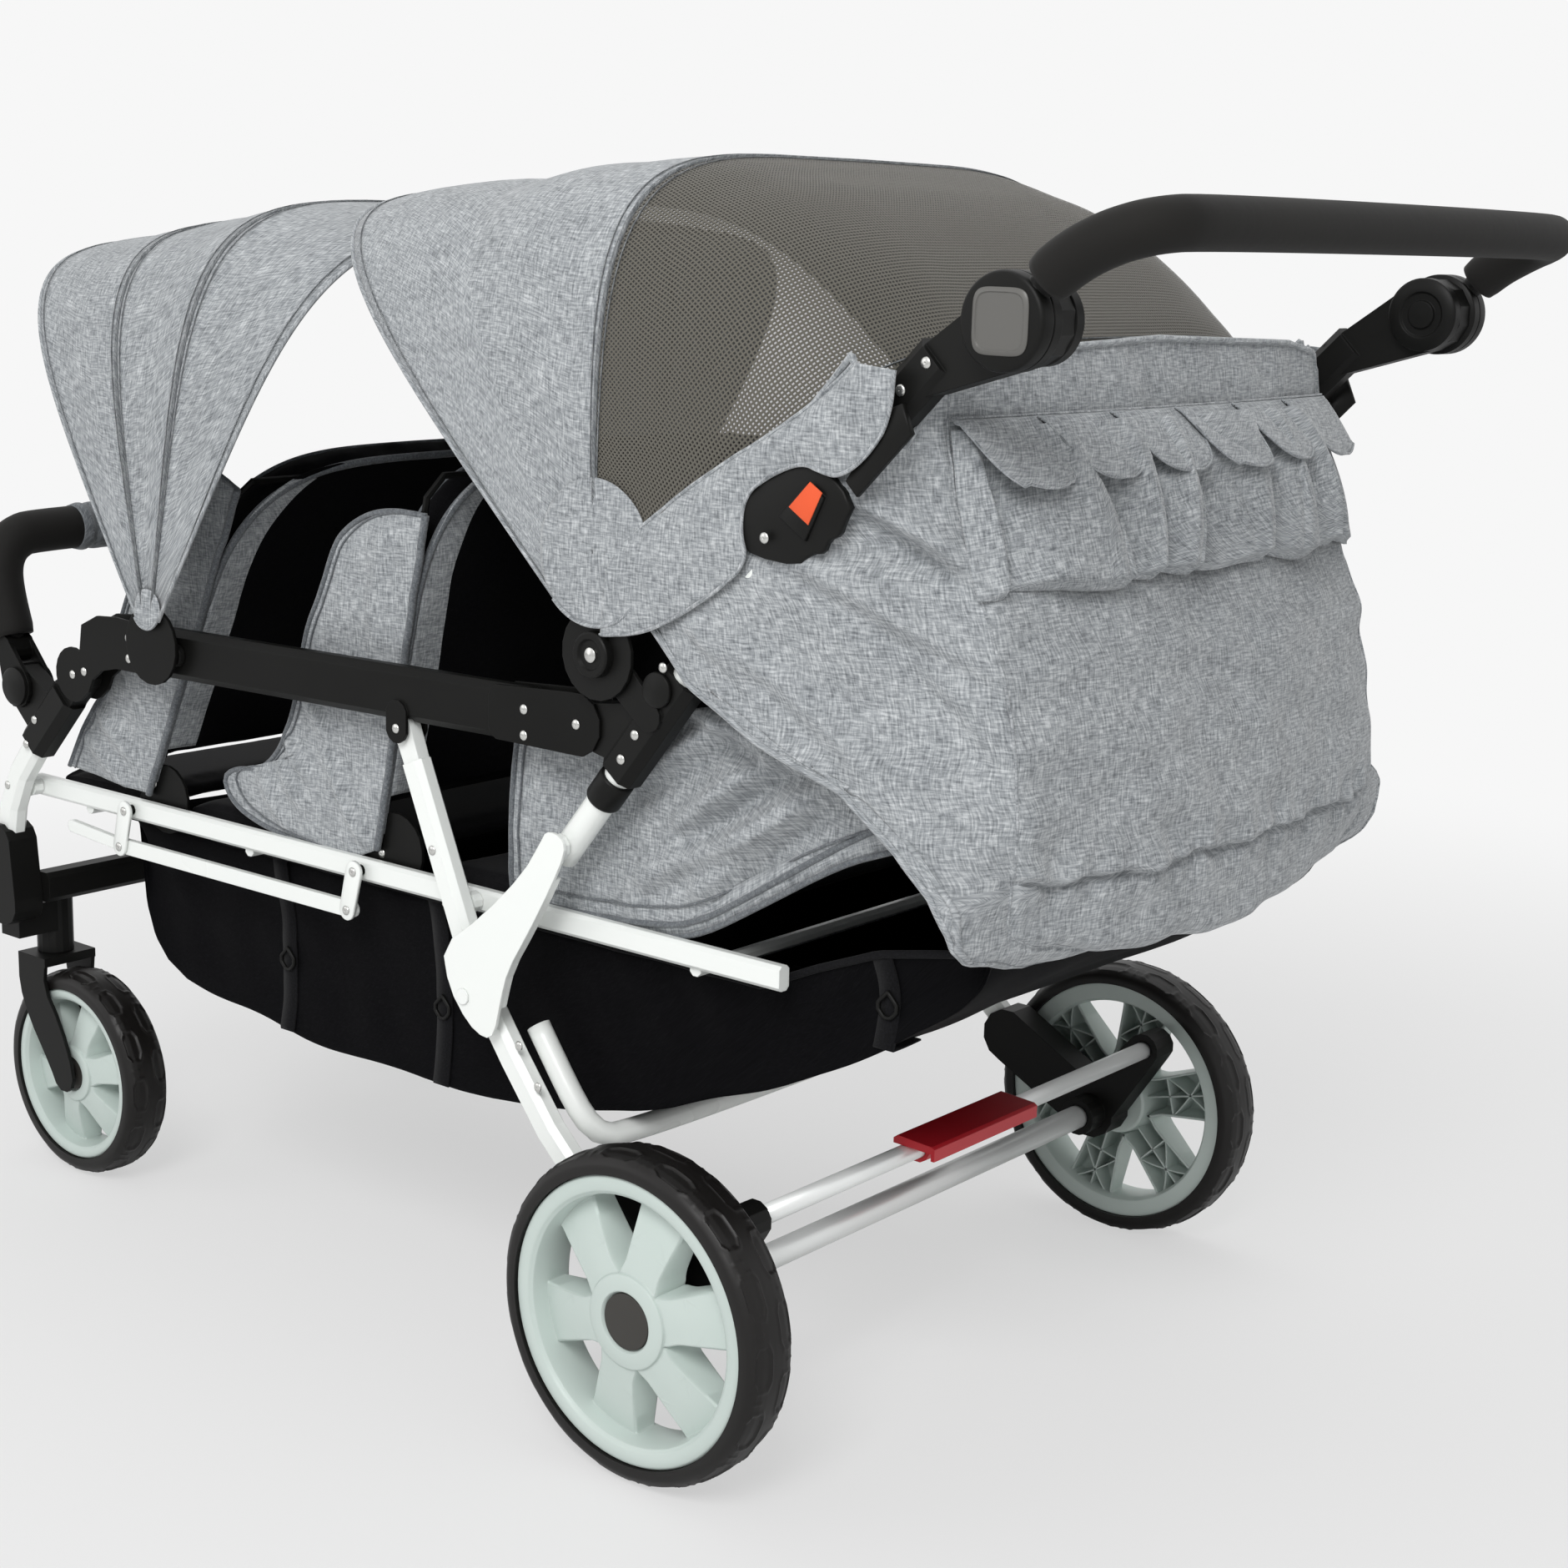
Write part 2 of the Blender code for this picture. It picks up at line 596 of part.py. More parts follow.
def build_wheel_brackets():
    body = plate(hull([(-0.100, 0.187, 0.027), (*REAR_AXLE, 0.026)]), *BRACKET)
    arm = plate(hull([(*REAR_AXLE, 0.022), (*BRAKE_AXIS, 0.016)]), *BRACKET)
    clamp = rod(REAR_AXLE, 0.018, FRAME_X - 0.0380, FRAME_X - 0.0100, 16)
    stub = rod(REAR_AXLE, STUB_RADIUS, FRAME_X + 0.0080, REAR_WHEEL_X + 0.020)
    body = fuse(body, arm, clamp, stub)
    leg_pocket = sweep(rear_leg_path(0.0006), box_section(TUBE_WIDTH + 2 * GAP, LEG_DEPTH + 2 * GAP))
    axle_bore = rod(REAR_AXLE, 0.011 + 2 * GAP, FRAME_X - 0.05, AXLE_END + 0.0005, 16)
    brake_bore = rod(BRAKE_AXIS, 0.0089, FRAME_X - 0.05, BAR_END + 0.0005)
    body = cut(body, leg_pocket, axle_bore, brake_bore)
    place_pair("wheel_bracket", body, "black_plastic", axis_of(REAR_AXLE, REAR_WHEEL_X))


def build_brake():
    place("brake_bar", rod(BRAKE_AXIS, BRAKE_RADIUS, -BAR_END, BAR_END), "white_paint", axis_of(BRAKE_AXIS))
    bore = BRAKE_RADIUS + 2 * GAP
    low, high = BRAKE_AXIS[1] + bore + 0.0005, BRAKE_AXIS[1] + bore + 0.0005 + PEDAL_THICK
    front, back = BRAKE_AXIS[0] - 0.009, BRAKE_AXIS[0] + PEDAL_REACH
    outline = [(front, low), (back - 0.004, low - 0.001), (back, low + 0.001), (back, high - 0.004),
               (back - 0.003, high - 0.002), (front + 0.004, high), (front, high - 0.003)]
    pedal = plate(outline, *PEDAL_ENDS)
    clip = hull([(*BRAKE_AXIS, bore + 0.0035), (BRAKE_AXIS[0] + 0.012, low + 0.001, 0.004)])
    lip = [(back - 0.0035, low - 0.007), (back, low - 0.007), (back, low + 0.002), (back - 0.0035, low + 0.002)]
    inner = (PEDAL_ENDS[0] + 0.022, PEDAL_ENDS[1] - 0.040)
    pedal = fuse(pedal, plate(lip, *PEDAL_ENDS), *[plate(clip, x, x + PEDAL_CLIP) for x in inner])
    pedal = cut(pedal, rod(BRAKE_AXIS, bore, PEDAL_ENDS[0] - 0.01, PEDAL_ENDS[1] + 0.01))
    place("brake_pedal", pedal, "red_plastic", axis_of(BRAKE_AXIS))


# Boomerang link: a stamped channel with its flange along the rear edge

def build_links():
    head = [(-0.1420, 0.4800), (-0.1370, 0.4885), (-0.1270, 0.4890), (-0.1180, 0.4840), (-0.1165, 0.4740)]
    rear = [(-0.1320, 0.4430), (-0.1560, 0.4020), (-0.1790, 0.3660), (-0.1870, 0.3390)]
    foot = [(-0.1940, 0.3090), (-0.2050, 0.3030), (-0.2250, 0.3120), (-0.2470, 0.3380), (-0.2550, 0.3720)]
    outline = smooth((head + rear + foot + [(-0.2080, 0.4060), (-0.1620, 0.4500)])[::-1])
    link = plate(outline, LINK_INNER_X, LINK_INNER_X + LINK_THICK)
    edge = [p for p in outline[::-1] if 0.318 < p[1] < 0.462 and p[0] > -0.1262 - 0.62 * (0.462 - p[1])]
    wall = sweep([(LINK_INNER_X - LINK_FLANGE / 2 + 0.0010, y - 0.0011, z + 0.0006) for y, z in edge],
                 [(a, b) for a, b in ((-0.0035, -0.001), (0.0035, -0.001), (0.0035, 0.001), (-0.0035, 0.001))])
    boss = rod(PUSH_LINK_PIVOT, 0.011, FRAME_X + PUSH_RADIUS + 0.0008, LINK_INNER_X + 0.0005)
    link = fuse(link, wall, boss)
    link = cut(link, pin_bore(LINK_LEG_PIVOT, 0.0048))
    place_pair("link", link, "white_paint", axis_of(LINK_LEG_PIVOT, LINK_INNER_X))


# Wheels

def build_wheel(name, centre, x, radius, width, steps, hub_radius, through):
    tyre_inner = radius - TYRE_DEPTH
    half = width / 2
    crown = [(-half, radius - 0.010), (-half + 0.007, radius - 0.002), (0, radius)]
    crown += [(-a, b) for a, b in reversed(crown[:-1])]
    tread = crown + [(half - 0.002, tyre_inner), (-half + 0.002, tyre_inner)]
    tyre = turned([(x + a, b) for a, b in tread], centre, steps)
    rim_half = half - 0.003
    rim_outer = tyre_inner - GAP
    rim_inner = rim_outer - RIM_DEPTH
    ring = turned([(x - rim_half, rim_outer), (x - rim_half, rim_inner + 0.003), (x + rim_half, rim_inner),
                   (x + rim_half, rim_outer)], centre, steps)
    hub = rod(centre, hub_radius, x - rim_half, x + rim_half + 0.001, 16)
    spokes = [spoke(centre, x, hub_radius * 0.7, rim_inner + 0.005, k) for k in range(SPOKES)]
    rim = fuse(ring, hub, *spokes)
    bore_end = x + (0.10 if through else 0.0208)
    recess = rod(centre, hub_radius * 0.58, x + rim_half - 0.001, x + rim_half + 0.01, 16)
    rim = cut(rim, rod(centre, STUB_RADIUS + BORE_CLEARANCE, x - 0.10, bore_end), recess)
    return tyre, rim


def spoke(centre, x, inner, outer, index):
    """A wide tapered spoke, thinner at the rim than at the hub."""
    points = []
    for radius, half_width, back, front in ((inner, inner * 0.58, -0.016, 0.019), (outer, outer * 0.235, -0.010, 0.012)):
        for side, depth in ((-1, back), (1, back), (1, front), (-1, front)):
            points.append((depth, radius, side * half_width))
    angle = 2 * math.pi * index / SPOKES + 0.26
    c, s = math.cos(angle), math.sin(angle)
    turned_points = [(x + a, centre[0] + b * c - d * s, centre[1] + b * s + d * c) for a, b, d in points]
    faces = [(0, 1, 2, 3), (7, 6, 5, 4), (0, 4, 5, 1), (1, 5, 6, 2), (2, 6, 7, 3), (3, 7, 4, 0)]
    return solid(turned_points, faces)


def build_wheels():
    tyre, rim = build_wheel("rear", REAR_AXLE, REAR_WHEEL_X, REAR_RADIUS, REAR_WIDTH, 36, 0.030, False)
    place_pair("rear_tyre", tyre, "rubber", axis_of(REAR_AXLE, REAR_WHEEL_X))
    place_pair("rear_rim", rim, "grey_plastic", axis_of(REAR_AXLE, REAR_WHEEL_X))
    tyre, rim = build_wheel("front", FRONT_AXLE, FRONT_WHEEL_X, FRONT_RADIUS, FRONT_WIDTH, 32, 0.023, True)
    place_pair("front_tyre", tyre, "rubber", axis_of(FRONT_AXLE, FRONT_WHEEL_X))
    place_pair("front_rim", rim, "grey_plastic", axis_of(FRONT_AXLE, FRONT_WHEEL_X))


# Front frame: legs, bumper brackets, caster housings and cross brace

FRONT_TOP = (-0.845, 0.450)
FRONT_LINE = towards(FRONT_LEG_PIVOT, FRONT_TOP)


def front_leg_path(extra=0.0):
    points = [at(FRONT_LEG_PIVOT, FRONT_LINE, 0.062 - extra), (-0.845, 0.450), (-0.872, 0.418), (-0.889, 0.383),
              (-0.896, 0.348), (-0.894, 0.300 - extra)]
    return in_plane(points)


def leg_pocket():
    return sweep(front_leg_path(0.0006), box_section(TUBE_WIDTH + 2 * GAP, FRONT_LEG_DEPTH + 2 * GAP))


def build_front_legs():
    leg = sweep(front_leg_path(), box_section(TUBE_WIDTH, FRONT_LEG_DEPTH))
    boss = rod(SEAT_FRONT_PIVOT, 0.009, SEAT_TUBE_X + SEAT_TUBE_WIDTH / 2 + 0.0005, FRAME_X - 0.0090)
    place_pair("front_leg", fuse(leg, boss), "white_paint", axis_of(FRONT_LEG_PIVOT, FRAME_X))


def build_bumper_brackets():
    low, high = at(FRONT_LEG_PIVOT, FRONT_LINE, 0.108), at(FRONT_LEG_PIVOT, FRONT_LINE, 0.032)
    body = sweep(in_plane([low, high]), box_section(SLEEVE_WIDTH, 0.036, 0.007))
    tongue = plate(hull([(*FRONT_LEG_PIVOT, 0.0165), (*at(FRONT_LEG_PIVOT, FRONT_LINE, 0.045), 0.014)]), *TONGUE)
    knuckle = plate(hull([(*BUMPER_PIVOT, BUMPER_HUB_RADIUS), (*at(FRONT_LEG_PIVOT, FRONT_LINE, 0.085), 0.014),
                          (*at(FRONT_LEG_PIVOT, FRONT_LINE, 0.060), 0.014)]), *TONGUE)
    body = fuse(body, tongue, knuckle)
    body = cut(body, leg_pocket(), pin_bore(FRONT_LEG_PIVOT), pin_bore(BUMPER_PIVOT, 0.0058))
    place_pair("bumper_bracket", body, "black_plastic", axis_of(FRONT_LEG_PIVOT, FRAME_X))


def build_caster_housings():
    body = plate(hull([(-0.8965, 0.345, 0.020), (*HOUSING_FOOT, 0.022)]), FRAME_X - 0.0160, FRAME_X + 0.0160)
    boss = upright(FRONT_WHEEL_X, SWIVEL_Y, 0.018, BOSS_BOTTOM, 0.278)
    web = block(FRONT_WHEEL_X, FRAME_X, min(SWIVEL_Y, HOUSING_FOOT[0]) - 0.014, max(SWIVEL_Y + 0.013, HOUSING_FOOT[0]) + 0.003,
                0.246, 0.2775)
    body = fuse(body, boss, web)
    stem_bore = upright(FRONT_WHEEL_X, SWIVEL_Y, STUB_RADIUS + BORE_CLEARANCE, 0.20, 0.270, 12)
    body = cut(body, leg_pocket(), stem_bore)
    place_pair("caster_housing", body, "black_plastic", (FRONT_WHEEL_X, SWIVEL_Y, BOSS_BOTTOM))
    brace = sweep([(0.0163 - FRAME_X, -0.872, 0.3000), (FRAME_X - 0.0163, -0.872, 0.3000)], box_section(0.026, 0.030), (0, 1, 0))
    place("front_cross_brace", brace, "black_plastic")


def build_forks():
    crown_top, crown_bottom = CROWN_BOTTOM + CROWN_THICK, CROWN_BOTTOM
    inside = FRONT_WIDTH / 2 + 0.0027
    outside = inside + 0.004
    crown = block(FRONT_WHEEL_X - outside, FRONT_WHEEL_X + outside, SWIVEL_Y - 0.021, SWIVEL_Y + 0.024,
                  crown_bottom, crown_top)
    stem = upright(FRONT_WHEEL_X, SWIVEL_Y, STUB_RADIUS, CROWN_BOTTOM + 0.0025, 0.268, 12)
    tip, knee = FRONT_AXLE, SWIVEL_Y - 0.021
    arm = [(knee, crown_top), (knee, crown_bottom - 0.026), (knee + 0.014, tip[1] + 0.050),
           (tip[0] - 0.022, tip[1] + 0.005), (tip[0] - 0.010, tip[1] - 0.016), (tip[0] + 0.010, tip[1] - 0.016),
           (tip[0] + 0.017, tip[1] + 0.004), (tip[0] - 0.004, tip[1] + 0.052), (SWIVEL_Y + 0.020, crown_bottom - 0.022),
           (SWIVEL_Y + 0.024, crown_top)]
    arm = [arm[0]] + smooth(arm)[1:-3] + [arm[-1]]
    arms = [plate(arm, FRONT_WHEEL_X + side * inside - (0.004 if side < 0 else 0), FRONT_WHEEL_X + side * inside
                  + (0.004 if side > 0 else 0)) for side in (-1, 1)]
    axle = rod(FRONT_AXLE, STUB_RADIUS, FRONT_WHEEL_X - inside - 0.002, FRONT_WHEEL_X + inside + 0.002)
    fork = fuse(crown, stem, *arms, axle)
    place_pair("caster_fork", fork, "black_plastic", (FRONT_WHEEL_X, SWIVEL_Y, crown_top))


# Bumper: forked ends on the knuckles, tube and foam

BUMPER_LINE = towards(BUMPER_PIVOT, (-0.899, 0.585))


def bumper_path():
    rise = at(BUMPER_PIVOT, BUMPER_LINE, 0.042)
    half = [(0, *rise), (0, -0.897, 0.598), (-0.004, -0.902, 0.624), (-0.019, -0.9045, 0.642), (-0.046, -0.905, 0.650)]
    return across([(FRAME_X + x, y, z) for x, y, z in half])


def build_bumper():
    tube = sweep(bumper_path(), round_section(0.010, 10))
    cheek = hull([(*BUMPER_PIVOT, BUMPER_HUB_RADIUS), (*at(BUMPER_PIVOT, BUMPER_LINE, 0.037), 0.0115)])
    bridge = hull([(*at(BUMPER_PIVOT, BUMPER_LINE, 0.035), 0.0110), (*at(BUMPER_PIVOT, BUMPER_LINE, 0.041), 0.0110)])
    outer = plate(cheek, TONGUE[1] + 0.0005, FRAME_X + SLEEVE_WIDTH / 2)
    inner = plate(cheek, FRAME_X - SLEEVE_WIDTH / 2, TONGUE[0] - 0.0005)
    solid_end = plate(bridge, FRAME_X - SLEEVE_WIDTH / 2, FRAME_X + SLEEVE_WIDTH / 2)
    shaft = rod(BUMPER_PIVOT, 0.005, FRAME_X - SLEEVE_WIDTH / 2 + 0.0005, FRAME_X + SLEEVE_WIDTH / 2 - 0.0005)
    ends = [outer, inner, solid_end, shaft]
    ends += [mirrored(piece) for piece in ends]
    place("bumper_tube", fuse(tube, *ends), "black_plastic", axis_of(BUMPER_PIVOT))
    start = Vector(bumper_path()[0]).lerp(Vector(bumper_path()[1]), 0.20)
    path = [tuple(start)] + bumper_path()[1:-1] + [(-start.x, start.y, start.z)]
    place("bumper_foam", sleeve(path, 0.021, 0.0109, 10), "foam", axis_of(BUMPER_PIVOT))


# Seat frame with its three seat bases and the basket under it

def build_seat_frame():
    half = SEAT_TUBE_HEIGHT / 2
    side = sweep([(SEAT_TUBE_X, -0.882, SEAT_LEVEL), (SEAT_TUBE_X, 0.069, SEAT_LEVEL)],
                 box_section(SEAT_TUBE_WIDTH, 2 * half, 0.003))
    other = mirrored(side)
    rungs = [rod((y, SEAT_CROSS_LEVEL), SEAT_CROSS_RADIUS, -SEAT_TUBE_X, SEAT_TUBE_X, 8) for y in SEAT_CROSS_AT]
    ladder = fuse(side, other, *rungs)
    bores = [rod(p, 0.0050, s * SEAT_TUBE_X - 0.012, s * SEAT_TUBE_X + 0.012) for p in ROW_HINGES for s in (-1, 1)]
    place("seat_frame", cut(ladder, *bores), "white_paint", axis_of(SEAT_REAR_PIVOT))
    for row, (front, back) in enumerate(BASES, 1):
        base = slab((front, BASE_BOTTOM), (back, BASE_BOTTOM), BASE_THICK, PAD_HALF_WIDTH)
        place(f"seat_base_{row}", base, "black_fabric", axis_of(SEAT_REAR_PIVOT))


def slab(start, end, thick, half_width):
    """A cushion: a rounded rectangle in the side plane, lying to the left of its line, run across the seat."""
    along = towards(start, end)
    normal = (-along[1], along[0])
    length = math.hypot(end[0] - start[0], end[1] - start[1])
    r = thick * 0.35
    corners = [(0, 0), (length, 0), (length, thick), (0, thick)]
    outline = []
    for i, (a, b) in enumerate(corners):
        ca = r if a == 0 else length - r
        cb = r if b == 0 else thick - r
        for step in range(3):
            angle = math.pi + i * math.pi / 2 + step * math.pi / 4
            p, q = ca + r * math.cos(angle), cb + r * math.sin(angle)
            outline.append((start[0] + p * along[0] + q * normal[0], start[1] + p * along[1] + q * normal[1]))
    return plate(outline, -half_width, half_width)


def back_pad(bottom, top, thick):
    """A seat back with rounded top corners, lying to the left of its line."""
    along = towards(bottom, top)
    normal = (-along[1], along[0])
    length = math.hypot(top[0] - bottom[0], top[1] - bottom[1])
    w, r = PAD_HALF_WIDTH, BACK_CORNER
    arc = [(w - r + r * math.cos(math.pi * k / 10), length - r + r * math.sin(math.pi * k / 10)) for k in range(6)]
    front = [(w, 0.0)] + arc + [(-a, b) for a, b in reversed(arc)] + [(-w, 0.0)]
    points = []
    for depth in (0.0, thick):
        start = at(bottom, normal, depth)
        points += [(x, *at(start, along, s)) for x, s in front]
    count = len(front)
    faces = [(i, (i + 1) % count, count + (i + 1) % count, count + i) for i in range(count)]
    faces += [tuple(range(count - 1, -1, -1)), tuple(range(count, 2 * count))]
    return solid(points, faces)


def build_basket():
    outline = [(-0.745, 0.3842), (-0.726, 0.238), (-0.600, 0.2200), (-0.465, 0.2110), (-0.291, 0.2100),
               (-0.118, 0.2360), (0.027, 0.2910), (0.108, 0.3300), (0.184, 0.3740), (0.256, 0.4190), (0.275, 0.4570),
               (0.262, 0.4570), (0.120, 0.4140), (0.030, 0.3842)]
    outer = plate(outline, -PAD_HALF_WIDTH, PAD_HALF_WIDTH)
    inner = [p for p in inset(outline, 0.003)]
    raised = [(inner[0][0], 0.50)] + inner[1:11] + [(inner[10][0] - 0.004, 0.50)]
    basket = cut(outer, plate(raised, 0.003 - PAD_HALF_WIDTH, PAD_HALF_WIDTH - 0.003))
    place("basket", basket, "black_fabric", axis_of(SEAT_REAR_PIVOT))


# Seat backs of rows 1 and 2, each with its hinge frame, pad and winged liner

WINGS = (
    ((-0.002, 0.0125), (-0.112, 0.0240), (-0.085, 0.070), (-0.048, 0.110), (-0.020, 0.190), (0.035, 0.275),
     (0.110, 0.335)),
    ((-0.002, 0.0125), (-0.185, 0.0550), (-0.079, 0.1310), (-0.067, 0.2070), (-0.011, 0.2920), (0.055, 0.330)),
)


def build_row(row):
    hinge, angle = ROW_HINGES[row - 1], math.radians(ROW_ANGLES[row - 1])
    up = (math.cos(angle), math.sin(angle))
    back = (up[1], -up[0])

    def spot(along, behind):
        return (hinge[0] + up[0] * along + back[0] * behind, hinge[1] + up[1] * along + back[1] * behind)

    bow_x = PAD_HALF_WIDTH + 0.0055
    bow = [(bow_x, *spot(0.038, -0.0016)), (bow_x, *spot(ROW_LENGTH - 0.030, -0.0016)),
           (bow_x - 0.0155, *spot(ROW_LENGTH - 0.012, -0.0016))]
    frame = sweep(across(bow), round_section(0.003, 6))
    arm_end = (hinge[0] + ARM[0], hinge[1] + ARM[1])
    ends = [
        plate(hull([(*hinge, 0.010), (*spot(0.026, 0.024), 0.033)], 20), PLATE_X, PLATE_X + PLATE_THICK),
        rod(hinge, 0.0040, PLATE_X + 0.0005, ARM_X + ARM_THICK - 0.0005),
        plate(hull([(*hinge, 0.0085), (*arm_end, 0.0080)]), ARM_X, ARM_X + ARM_THICK),
        rod(arm_end, PIN_RADIUS, BAR_X + 0.0008, ARM_X + ARM_THICK - 0.0005),
    ]
    ends += [mirrored(piece) for piece in ends]
    place(f"row_{row}_frame", fuse(frame, *ends), "black_paint", axis_of(hinge))

    pad = back_pad(spot(0.045, -0.005), spot(ROW_LENGTH, -0.005), PAD_THICK)
    place(f"row_{row}_pad", pad, "black_fabric", axis_of(hinge))

    sheet = slab(spot(0.088, 0.0068), spot(ROW_LENGTH + 0.004, 0.0068), 0.003, WING_X + WING_THICK)
    wing = [(hinge[0] + y, hinge[1] + z) for y, z in WINGS[row - 1]]
    wing += [spot(ROW_LENGTH, 0.0060), spot(0.020, 0.0060)]
    left = plate(wing[::-1], WING_X, WING_X + WING_THICK)
    place(f"row_{row}_liner", fuse(sheet, left, mirrored(left)), "grey_fabric", axis_of(hinge))


def build_recline_bars():
    ends = [(h[0] + ARM[0], h[1] + ARM[1]) for h in ROW_HINGES]
    front = (ends[0][0] - 0.080, ends[0][1] + 0.006)
    bar = plate(hull([(*ends[0], 0.0075), (*ends[1], 0.0075)]), BAR_X, BAR_X + BAR_THICK)
    nose = plate(hull([(*front, 0.0060), (*ends[0], 0.0060)]), BAR_X, BAR_X + BAR_THICK)
    bar = fuse(bar, nose)
    bar = cut(bar, *[rod(p, PIN_BORE, BAR_X - 0.012, BAR_X + 0.018) for p in ends])
    place_pair("recline_bar", bar, "white_paint", axis_of(ends[0], BAR_X))


def build_row_three():
    pad = back_pad(*BACK_3, BACK_3_THICK)
    low, high = BACK_3_STRAP[0], at(PUSH_LINK_PIVOT, PUSH_LOW, BACK_3_STRAP[1])
    straps = [plate(hull([(*low, 0.011), (*high, 0.011)]), STRAP_X, STRAP_X + 0.003),
              rod(low, 0.006, PAD_HALF_WIDTH - 0.010, STRAP_X + 0.001),
              rod(high, 0.006, STRAP_X + 0.001, FRAME_X - PUSH_RADIUS - GAP)]
    straps += [mirrored(piece) for piece in straps]
    pad = fuse(pad, *straps)
    place("seat_back_3", pad, "black_fabric", axis_of(RAIL_PUSH_PIVOT))
    side = [(-0.226, 0.4134), (-0.020, 0.4134), (0.060, 0.4550), (0.154, 0.5300), (0.130, 0.6100), (0.050, 0.6000),
            (-0.060, 0.5600), (-0.217, 0.5560)]
    left = plate(side, WING_X, WING_X + WING_THICK)
    cover = block(-WING_X - 0.001, WING_X + 0.001, -0.220, -0.080, 0.4134, 0.4156)
    place("row_3_liner", fuse(cover, left, mirrored(left)), "grey_fabric", axis_of(SEAT_REAR_PIVOT))


# Hoods: each gore lies between two bows, and a bow is a squared ellipse in a plane through the hinge line

def radius_at(angle, table):
    for (a, ra), (b, rb) in zip(table, table[1:]):
        if a <= angle <= b:
            return ra + (rb - ra) * (angle - a) / (b - a)
    return table[-1][1]


def bow_points(hinge, angle, radius, half_width, steps, power):
    first = math.asin(min(1.0, (HOOD_START / radius) ** (power / 2)))
    direction = (math.cos(math.radians(angle)), math.sin(math.radians(angle)))
    row = []
    for k in range(steps + 1):
        t = first + (math.pi - 2 * first) * k / steps
        x = -half_width * math.copysign(abs(math.cos(t)) ** (2 / power), math.cos(t))
        reach = radius * abs(math.sin(t)) ** (2 / power)
        row.append((x, hinge[0] + reach * direction[0], hinge[1] + reach * direction[1]))
    return row


def gore(hinge, start, end, radius_of, power, steps=14, parts=2):
    trim = 0.04
    low, high = min(start, end) + trim, max(start, end) - trim
    angles = [low + (high - low) * k / parts for k in range(parts + 1)]
    outside = [bow_points(hinge, a, radius_of(a), HOOD_HALF_WIDTH, steps, power) for a in angles]
    inside = [bow_points(hinge, a, radius_of(a) - CLOTH, HOOD_HALF_WIDTH - CLOTH, steps, power) for a in angles]
    return shell(outside, inside)


def build_hoods():
    def front_radius(angle):
        return radius_at(angle, FRONT_HOOD_RADII)

    names = ("front_hood_front", "front_hood_middle", "front_hood_rear")
    for name, start, end in zip(names, FRONT_HOOD_BOWS, FRONT_HOOD_BOWS[1:]):
        shape = gore(FRONT_HOOD_HINGE, start, end, front_radius, FRONT_HOOD_POWER)
        place(name, shape, "grey_fabric", axis_of(FRONT_HOOD_HINGE))

    def rear_radius(angle):
        return radius_at(angle, REAR_HOOD_RADII)

    for name, finish, start, end in zip(("rear_hood_panel", "rear_hood_mesh"), ("grey_fabric", "mesh_fabric"),
                                        REAR_HOOD_BOWS, REAR_HOOD_BOWS[1:]):
        shape = gore(REAR_HOOD_HINGE, start, end, rear_radius, REAR_HOOD_POWER, parts=3)
        place(name, shape, finish, axis_of(REAR_HOOD_HINGE))


# Rear cover: levels from top to bottom, each a plan curve round the sides and the back. The sides lie outside the
# push tubes, and the top edge dips where the tubes leave it.

COVER_LEVELS = (
    (0.868, 0.1480, 0.2060, 0.008), (0.805, 0.0860, 0.2110, 0.020), (0.765, 0.0460, 0.2170, 0.026),
    (0.720, 0.0020, 0.2300, 0.030), (0.672, -0.0450, 0.2420, 0.030), (0.618, 0.0590, 0.2560, 0.030),
    (0.557, 0.1380, 0.2670, 0.030), (0.509, 0.2150, 0.2700, 0.028), (0.484, 0.2320, 0.2690, 0.022),
    (0.460, 0.2320, 0.2620, 0.014),
)
COVER_DIPS = (0.0, 0.012, 0.052, 0.058, 0.030, 0.0, 0.0, 0.0)
COVER_X = FRAME_X + 0.0225
CORNER_X = COVER_X - 0.0545


def push_y(z):
    low, high = (PUSH_LINK_PIVOT, PUSH_BEND) if z < PUSH_BEND[1] else (PUSH_BEND, PUSH_TOP)
    return low[0] + (z - low[1]) * (high[0] - low[0]) / (high[1] - low[1])


def cover_row(level, inward):
    z, front, rear, bulge = level
    side = COVER_X - inward
    back = rear - inward
    turn = max(front + 0.02, min(push_y(z) + 0.024, rear - 0.020))
    plan = [(side, front), (side, (front + turn) / 2), (side, turn),
            ((side + CORNER_X) / 2 - 0.003, turn * 0.35 + back * 0.65), (CORNER_X - inward, back),
            (0.200, back + bulge * 0.6), (0.100, back + bulge * 0.9), (0.0, back + bulge)]
    dips = COVER_DIPS if level is COVER_LEVELS[0] else [0.0] * len(plan)
    half = [(a, b, z - dip) for (a, b), dip in zip(plan, dips)]
    return half + [(-a, b, c) for a, b, c in reversed(half[:-1])]


def build_rear_cover():
    outside = [cover_row(level, 0.0) for level in COVER_LEVELS]
    inside = [cover_row(level, CLOTH) for level in COVER_LEVELS]
    place("rear_cover", shell(outside, inside), "grey_fabric", axis_of(RAIL_PUSH_PIVOT))


build_rails()
build_push_tubes()
build_hinge_blocks()
build_handle_brackets()
build_handle()
build_rear_legs()
build_rear_cross_parts()
build_wheel_brackets()
build_brake()
build_links()
build_wheels()
build_front_legs()
build_bumper_brackets()
build_caster_housings()
build_forks()
build_bumper()
build_seat_frame()
build_basket()
for row_number in (1, 2):
    build_row(row_number)
build_recline_bars()
build_row_three()
build_hoods()
build_rear_cover()

tools.hide_render = True
bpy.context.view_layer.update()
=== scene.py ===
import bpy
import math
import numpy as np
from mathutils import Matrix, Vector


